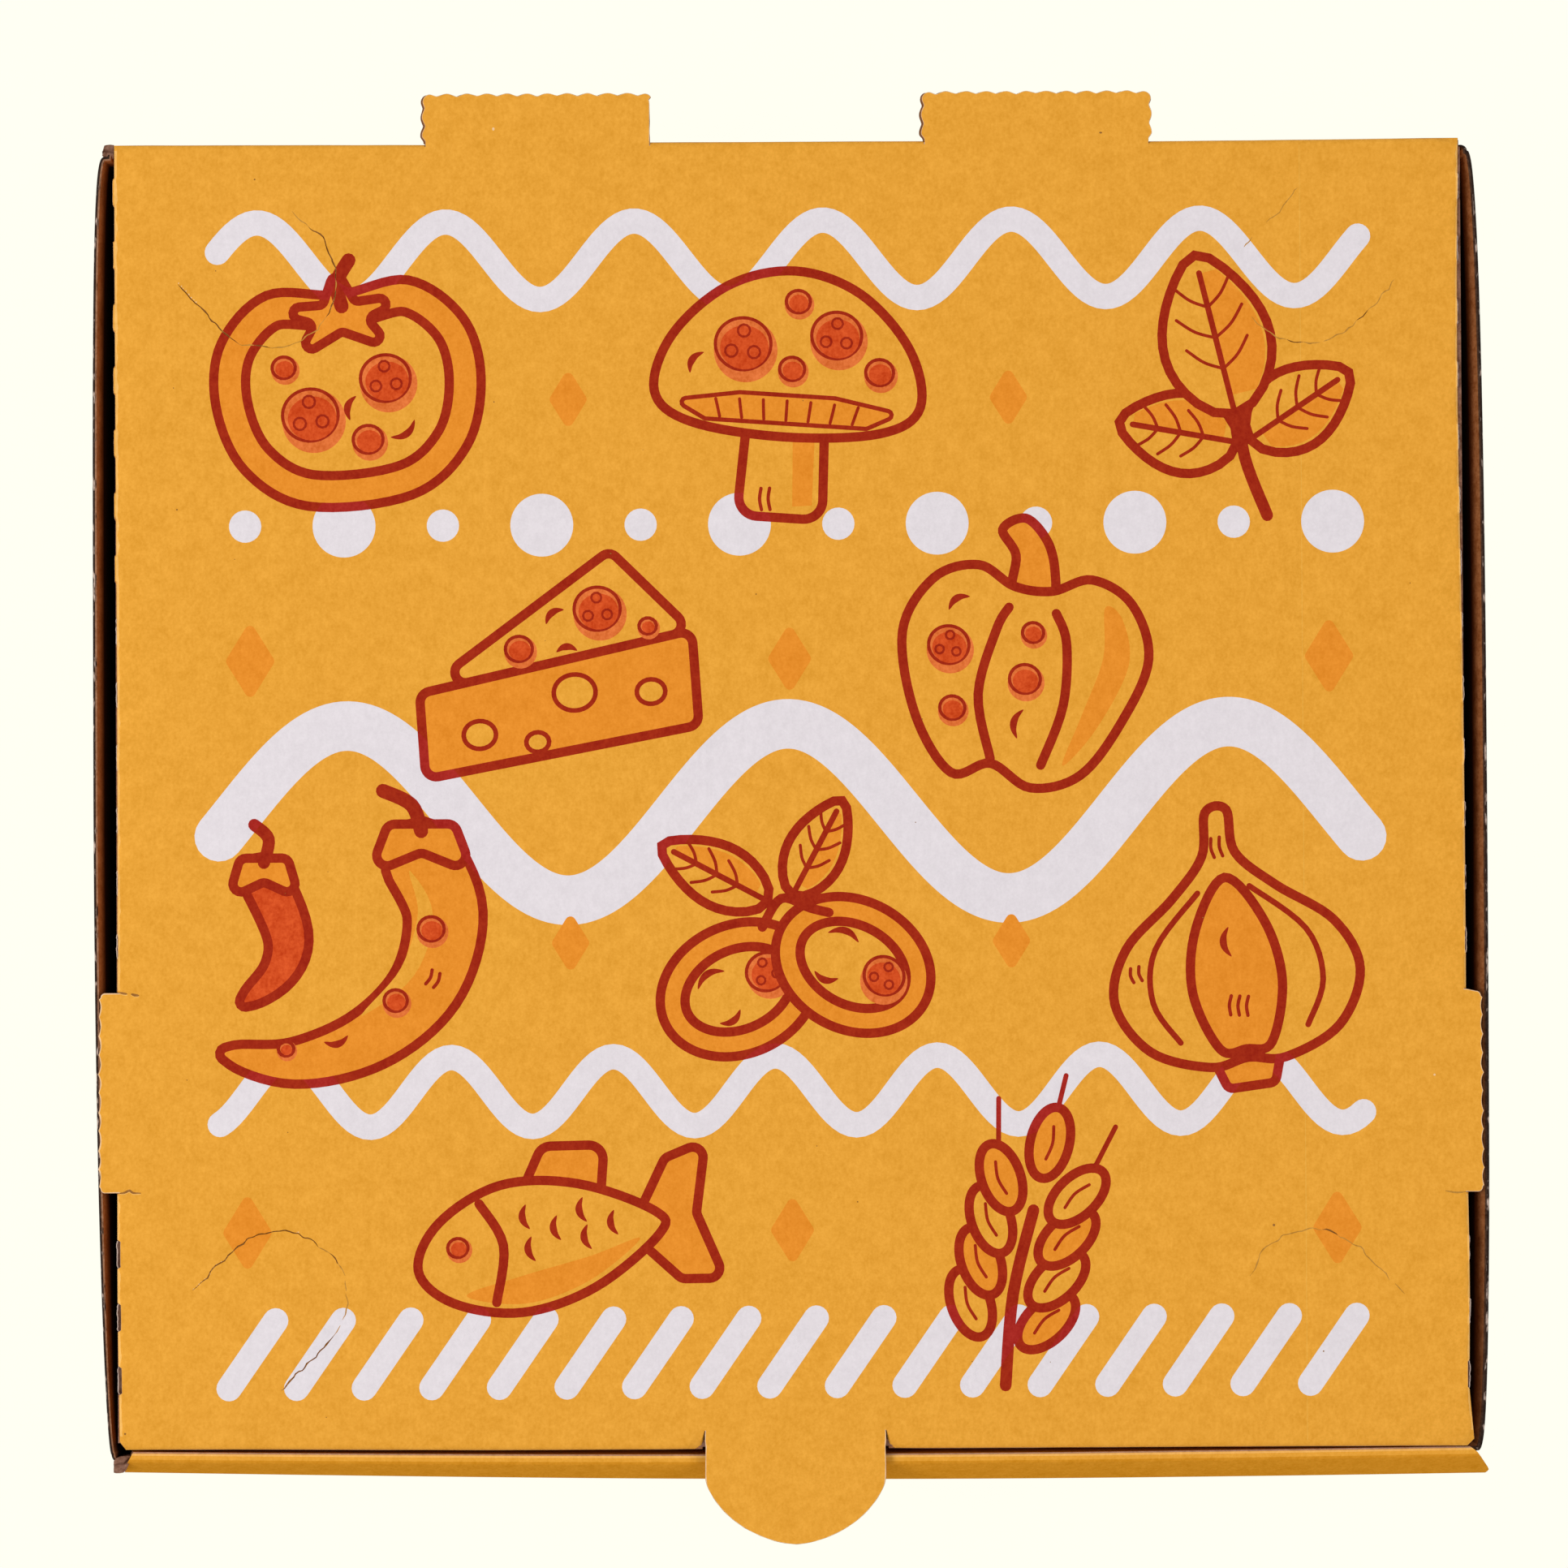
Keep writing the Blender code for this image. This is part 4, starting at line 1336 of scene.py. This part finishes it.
def strip_rear(x):
    """y of the rolled front wall's rear crease. The gap to the lid is widest in the middle."""
    return STRIP_REAR - STRIP_REAR_BOW * math.cos(math.pi * x / 310) - STRIP_REAR_SKEW * x / LID_HALF_WIDTH


def strip_front(x):
    """y of the rolled front wall's outer face where it bulges most. It stands a little askew."""
    bow = STRIP_FRONT_BOW * math.cos(math.pi * (x - 10) / 320)
    return STRIP_FRONT - STRIP_FRONT_SKEW * x / LID_HALF_WIDTH - bow


def front_profile(x):
    """Points (y, z, paper) around the rolled-over sheet of the front wall: up outside and down inside."""
    rear, front = strip_rear(x), strip_front(x)
    near_thumb = math.exp(-((max(abs(x), 8.0) - 8.0) / 26.0) ** 2)
    top = WALL_TOP - 0.1 - 0.35 * near_thumb - 0.1 * (1 + wobble(x, 3.0, 25.0, 9.0))
    shoulder = rear - 0.95
    points = []
    for a in (math.pi / 2 * k / 4 for k in range(5)):
        points.append((FRONT_FACE + FOOT_RADIUS * (1 - math.sin(a)), FOOT_RADIUS * (1 - math.cos(a)), "face"))
    for z in (5.0, 10.0, 15.0, 20.0, 25.0, BULGE_HEIGHT):
        swell = math.sin(math.pi / 2 * z / BULGE_HEIGHT) ** 1.4
        points.append((FRONT_FACE + (front - FRONT_FACE) * swell, z, "face"))
    roll = []
    for a in (math.radians(ROLL_TURN) * k / 8 for k in range(8, -1, -1)):
        y, z = shoulder - ROLL_RADIUS * math.sin(a), top - ROLL_RADIUS * (1 - math.cos(a))
        # the steeper part of the roll takes the darker face paper: painted shade
        roll.append((y, z, "face" if a > 0.5 else "board"))
    (low_y, low_z), (high_y, high_z) = points[-1][:2], roll[0][:2]
    for k in range(1, 6):
        points.append((low_y + (high_y - low_y) * (k / 6) ** 1.3, low_z + (high_z - low_z) * k / 6, "face"))
    points += roll
    points += [(rear - 0.75, top + 0.02, "worn"), (rear - 0.3, top - 0.12, "cut_paper")]
    points.append((rear, top - 0.5, "face"))
    inner_foot, under = FRONT_FACE + 3.6, top - BOARD - 0.3
    inside = [
        (inner_foot, FLAP_FOOT), (inner_foot - BOARD, FLAP_FOOT),
        (rear - BOARD, under), (shoulder - 0.6, under), (FRONT_FACE + BOARD - 0.4, BULGE_HEIGHT),
        (FRONT_FACE + BOARD, BOARD), (FRONT_FACE + 2 * BOARD, BOARD),
    ]
    points += [(y, z, "kraft") for y, z in inside]
    return points + [(FRONT_FACE + 2 * BOARD, 0.0, "board")]


def front_wall():
    """The rolled-over front wall, with slanted ends, the left one held back by its corner flap."""
    sections = []
    for i in range(FRONT_STEPS + 1):
        share = i / FRONT_STEPS
        profile = front_profile(TRAY_HALF_WIDTH * (2 * share - 1))
        nearest = min(y for y, _, _ in profile)
        section = []
        for y, z, _ in profile:
            depth = min(1.0, (y - nearest) / 5.5)
            rise = min(1.0, z / BULGE_HEIGHT)
            left = -TRAY_HALF_WIDTH + 2.7 * rise + 3.0 * depth * rise
            right = TRAY_HALF_WIDTH + 2.9 * rise - 3.3 * max(0.0, depth - 0.2) / 0.8 * rise
            right -= 0.5 * math.exp(-(depth / 0.08) ** 2) * rise
            right -= 2.2 * min(1.0, max(0.0, (y - nearest - 5.5) / 1.6)) * rise
            section.append((left + (right - left) * share, y, z))
        sections.append(section)
    return loft("front_wall", sections, [slot for _, _, slot in front_profile(0.0)], "wall_edge")


def corner_folds():
    """The crumpled ends of the left corner flaps, bare and brown, beside the front wall and at the hinge."""
    places = (  # name, height of the foot and the top, and x, near y and far y of each column
        ("front", 30.0, 38.9, (
            (-151.15, -150.2, -147.6), (-150.6, -150.35, -147.0), (-149.8, -150.35, -146.7),
            (-149.0, -150.2, -146.6), (-148.2, -149.0, -146.5), (-147.5, -147.9, -146.5),
        )),
        ("rear", 35.5, 39.9, (
            (-152.75, 143.1, 143.9), (-152.3, 143.0, 145.4), (-151.8, 142.8, 145.55),
            (-151.0, 142.5, 145.6), (-150.2, 142.4, 145.5),
        )),
    )
    pieces = []
    for name, foot, height, columns in places:
        sections = []
        for x, near, far in columns:
            ripple = 0.3 * wobble(x * 3, near, 1.2, 5.0)
            top = height + ripple
            middle = (near + far) / 2
            sections.append([
                (x, near, foot), (x, far, foot), (x, far, top - 0.5), (x, middle + 0.5, top - ripple),
                (x, middle, top - 0.6), (x, middle - 0.5, top + ripple), (x, near, top - 0.3),
            ])
        pieces.append(loft(f"corner_fold_{name}", sections, ["kraft_edge"] * 7))
    return pieces


def tab_hole(centre, top):
    """Points around the hole in the rear wall that a tab leaves, walked from right to left below its top."""
    half, foot = REAR_TAB_HALF_WIDTH, LID_TOP - REAR_TAB_REACH
    edge = dense([(centre + half, foot), (centre - half, foot)])
    waves = scalloped(edge, (), lambda x, z: -0.8 * WAVE_DEPTH)
    return [(centre + half, top)] + waves + [(centre - half, top)]


def rear_wall():
    """The rear wall below the hinge, with the holes that the tabs leave, cut with the same waved knife."""
    top = LID_TOP - FOLD_RADIUS - 0.02
    half = LID_HALF_WIDTH - 0.35
    outline = [(-half, FOOT_RADIUS), (half, FOOT_RADIUS), (half, top)]
    outline += tab_hole(REAR_TAB_CENTRE, top) + tab_hole(-REAR_TAB_CENTRE, top) + [(-half, top)]
    drawing = Drawing(outline, "board")
    face = REAR - 0.02

    def at(depth):
        return lambda x, z, pressed, out: (-x, face - depth - 0.25 * math.sin(math.pi * z / LID_TOP) ** 2, z)

    wall = closed_sheet("rear_wall", drawing, at(0.0), at(BOARD), "kraft_edge", "kraft")
    fold = []
    centre = (face - FOOT_RADIUS, FOOT_RADIUS)
    for x in (-half, half):
        curve = [around(centre, -math.pi / 2 * k / 5, FOOT_RADIUS) for k in range(6)]
        fold.append([(x, y, z) for y, z in [(face - BOARD, FOOT_RADIUS)] + curve][::-1])
    return [wall, loft("rear_fold", fold, ["board"] * 5 + ["kraft", "board"], "board")]


def bottom_panel():
    """The bottom panel between the folds of the walls."""
    half = TRAY_HALF_WIDTH - FOOT_RADIUS
    near, far = FRONT_FACE + FOOT_RADIUS, REAR - FOOT_RADIUS
    drawing = Drawing([(-half, near), (half, near), (half, far), (-half, far)], "kraft")
    return closed_sheet(
        "bottom_panel", drawing,
        lambda x, y, pressed, out: (x, y, BOARD),
        lambda x, y, pressed, out: (x, y, 0.0),
        "board", "board",
    )


# Materials

def linear(colour):
    """A linear colour from sRGB bytes."""
    channels = [c / 255 for c in colour]
    return tuple(c / 12.92 if c <= 0.04045 else ((c + 0.055) / 1.055) ** 2.4 for c in channels) + (1.0,)


def add_node(tree, kind, **values):
    node = tree.nodes.new(kind)
    for key, value in values.items():
        if hasattr(node, key):
            setattr(node, key, value)
        else:
            node.inputs[key.replace("_", " ")].default_value = value
    return node


def combined(tree, operation, first, second):
    """A math node fed with two outputs, or with an output and a number."""
    node = add_node(tree, "ShaderNodeMath", operation=operation)
    tree.links.new(first, node.inputs[0])
    if isinstance(second, (int, float)):
        node.inputs[1].default_value = second
    else:
        tree.links.new(second, node.inputs[1])
    return node.outputs[0]


def noise_output(tree, place, scale, detail, stretch=(1.0, 1.0, 1.0)):
    mapping = add_node(tree, "ShaderNodeMapping", Scale=stretch)
    texture = add_node(tree, "ShaderNodeTexNoise", Scale=scale, Detail=detail)
    tree.links.new(place, mapping.inputs["Vector"])
    tree.links.new(mapping.outputs["Vector"], texture.inputs["Vector"])
    return texture.outputs["Fac"]


def ramped(tree, value, low, high):
    """A value spread out so that low becomes 0 and high becomes 1."""
    node = add_node(tree, "ShaderNodeMapRange")
    node.inputs["From Min"].default_value = low
    node.inputs["From Max"].default_value = high
    tree.links.new(value, node.inputs["Value"])
    return node.outputs["Result"]


def blended(tree, factor, first, second):
    """A colour mixed from two colours, each a tuple or an output."""
    node = add_node(tree, "ShaderNodeMix", data_type="RGBA")
    tree.links.new(factor, node.inputs["Factor"])
    for name, colour in (("A", first), ("B", second)):
        socket = next(i for i in node.inputs if i.name == name and i.type == "RGBA")
        if isinstance(colour, tuple):
            socket.default_value = colour
        else:
            tree.links.new(colour, socket)
    return next(o for o in node.outputs if o.type == "RGBA")


def paper(name, colour, spread, roughness=0.7, fluted=0.0, fleck=None, paints_gap_shade=False, matt=False):
    """Paper, or ink on paper: mottled, grainy and a little fibrous. spread is how far the mottles stray in
    sRGB bytes. fluted presses a washboard into it, fleck scatters spots of a second colour, and the gap trait
    paints shade onto it, darker from just below the top of the walls downwards, for the deep gap beside the
    lid. matt paper has no sheen at all."""
    material = bpy.data.materials.new(name)
    material.use_nodes = True
    tree = material.node_tree
    shader = tree.nodes["Principled BSDF"]
    shader.inputs["Roughness"].default_value = roughness
    shader.inputs["Specular IOR Level"].default_value = 0.0 if matt else 0.12
    place = add_node(tree, "ShaderNodeTexCoord").outputs["Object"]
    blotch = noise_output(tree, place, 300.0, 4.0)
    grain = noise_output(tree, place, 1900.0, 3.0)
    fibre = noise_output(tree, place, 1100.0, 2.0, (1.0, 0.6, 1.0))
    fine = combined(tree, "ADD", grain, fibre)
    mottle = combined(tree, "ADD", blotch, fine)
    darker = linear([max(0, c - spread) for c in colour])
    lighter = linear([min(255, c + spread) for c in colour])
    shade = blended(tree, ramped(tree, mottle, 1.1, 1.9), darker, lighter)
    if fleck:
        spots = noise_output(tree, place, 650.0, 4.0, (1.0, 0.45, 1.0))
        shade = blended(tree, ramped(tree, spots, 0.56, 0.68), shade, linear(fleck))
    # painted shade in the gap, deepening from just below the top of the walls downwards
    if paints_gap_shade:
        height = add_node(tree, "ShaderNodeSeparateXYZ")
        tree.links.new(place, height.inputs["Vector"])
        depth = ramped(tree, height.outputs["Z"], GAP_SHADE_TOP * MM, GAP_SHADE_FOOT * MM)
        shade = blended(tree, depth, shade, linear(PAINTED_GAP_SHADE))
    tree.links.new(shade, shader.inputs["Base Color"])
    bump = add_node(tree, "ShaderNodeBump", Strength=0.25, Distance=0.00006)
    tree.links.new(fine, bump.inputs["Height"])
    normal = bump.outputs["Normal"]
    if fluted:
        split = add_node(tree, "ShaderNodeSeparateXYZ")
        tree.links.new(place, split.inputs["Vector"])
        turns = combined(tree, "MULTIPLY", split.outputs["X"], 2 * math.pi / (FLUTE_PITCH * MM))
        wave = add_node(tree, "ShaderNodeMath", operation="SINE")
        tree.links.new(turns, wave.inputs[0])
        washboard = add_node(tree, "ShaderNodeBump", Strength=fluted, Distance=0.00002)
        tree.links.new(wave.outputs[0], washboard.inputs["Height"])
        tree.links.new(normal, washboard.inputs["Normal"])
        normal = washboard.outputs["Normal"]
    tree.links.new(normal, shader.inputs["Normal"])
    return material


MATERIALS = {
    slot: paper(name, colour, spread, **traits) for slot, (name, colour, spread, traits) in PAPERS.items()
}


# Stage

def floor():
    """A plain pale floor that glows like a light table, so that no shadow falls on it."""
    size = 4.0
    mesh = bpy.data.meshes.new("floor")
    height = -0.0002
    corners = [(-size, -size, height), (size, -size, height), (size, size, height), (-size, size, height)]
    mesh.from_pydata(corners, [], [(0, 1, 2, 3)])
    material = bpy.data.materials.new("pale_floor")
    material.use_nodes = True
    shader = material.node_tree.nodes["Principled BSDF"]
    shader.inputs["Base Color"].default_value = (0.02, 0.02, 0.02, 1.0)
    shader.inputs["Roughness"].default_value = 0.9
    shader.inputs["Specular IOR Level"].default_value = 0.0
    shader.inputs["Emission Color"].default_value = linear((255, 255, 242))
    shader.inputs["Emission Strength"].default_value = 0.99
    mesh.materials.append(material)
    obj = bpy.data.objects.new("floor", mesh)
    bpy.context.scene.collection.objects.link(obj)


def area_light(name, place, size, power, colour=(1.0, 1.0, 1.0)):
    """A square soft light that looks at the box."""
    light = bpy.data.lights.new(name, "AREA")
    light.size = size
    light.energy = power
    light.color = colour
    obj = bpy.data.objects.new(name, light)
    obj.location = place
    obj.rotation_euler = (Vector((0.0, 0.0, 0.04)) - Vector(place)).to_track_quat("-Z", "Y").to_euler()
    bpy.context.scene.collection.objects.link(obj)


def studio():
    """Soft white light from two boxes beside the camera, the left one stronger, none above the gaps."""
    world = bpy.data.worlds.new("studio")
    world.use_nodes = True
    world.node_tree.nodes["Background"].inputs["Color"].default_value = (1.0, 1.0, 1.0, 1.0)
    world.node_tree.nodes["Background"].inputs["Strength"].default_value = 0.4
    bpy.context.scene.world = world
    area_light("left_softbox", (-1.3, 0.0, 1.3), 0.9, 18.3)
    area_light("right_softbox", (1.3, 0.0, 1.3), 0.9, 10.0)


CAMERA_DISTANCE = 1.6
LENS = 165.24
CAMERA_AIM = (-1.38, 2.10)  # the point of the lid's plane in the middle of the picture
CAMERA_TILT = 1.30  # degrees from straight down, towards the rear
CAMERA_ROLL = 0.29


def camera():
    """A long lens high above the lid, turned and tilted a little as in the photograph."""
    data = bpy.data.cameras.new("camera")
    data.sensor_width = 36.0
    data.lens = LENS
    obj = bpy.data.objects.new("camera", data)
    bpy.context.scene.collection.objects.link(obj)
    turn = Euler((math.radians(CAMERA_TILT), 0.0, -math.radians(CAMERA_ROLL)))
    obj.rotation_euler = turn
    aim = Vector((CAMERA_AIM[0] * MM, CAMERA_AIM[1] * MM, LID_TOP * MM))
    obj.location = aim + turn.to_matrix() @ Vector((0.0, 0.0, CAMERA_DISTANCE))
    bpy.context.scene.camera = obj


def dress(pieces):
    for piece in pieces:
        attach(piece, "root")
        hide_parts("pizza_box")


def main():
    printed = [lid_top(), front_wall(), bottom_panel(), side_wall(-1), side_wall(1)]
    dress(printed + rear_wall() + hanging_flaps())
    dress([lid_lining()] + corner_folds() + tab_flutes() + slot_edges())
    floor()
    studio()
    camera()
    bpy.context.scene.view_settings.view_transform = "Standard"


main()
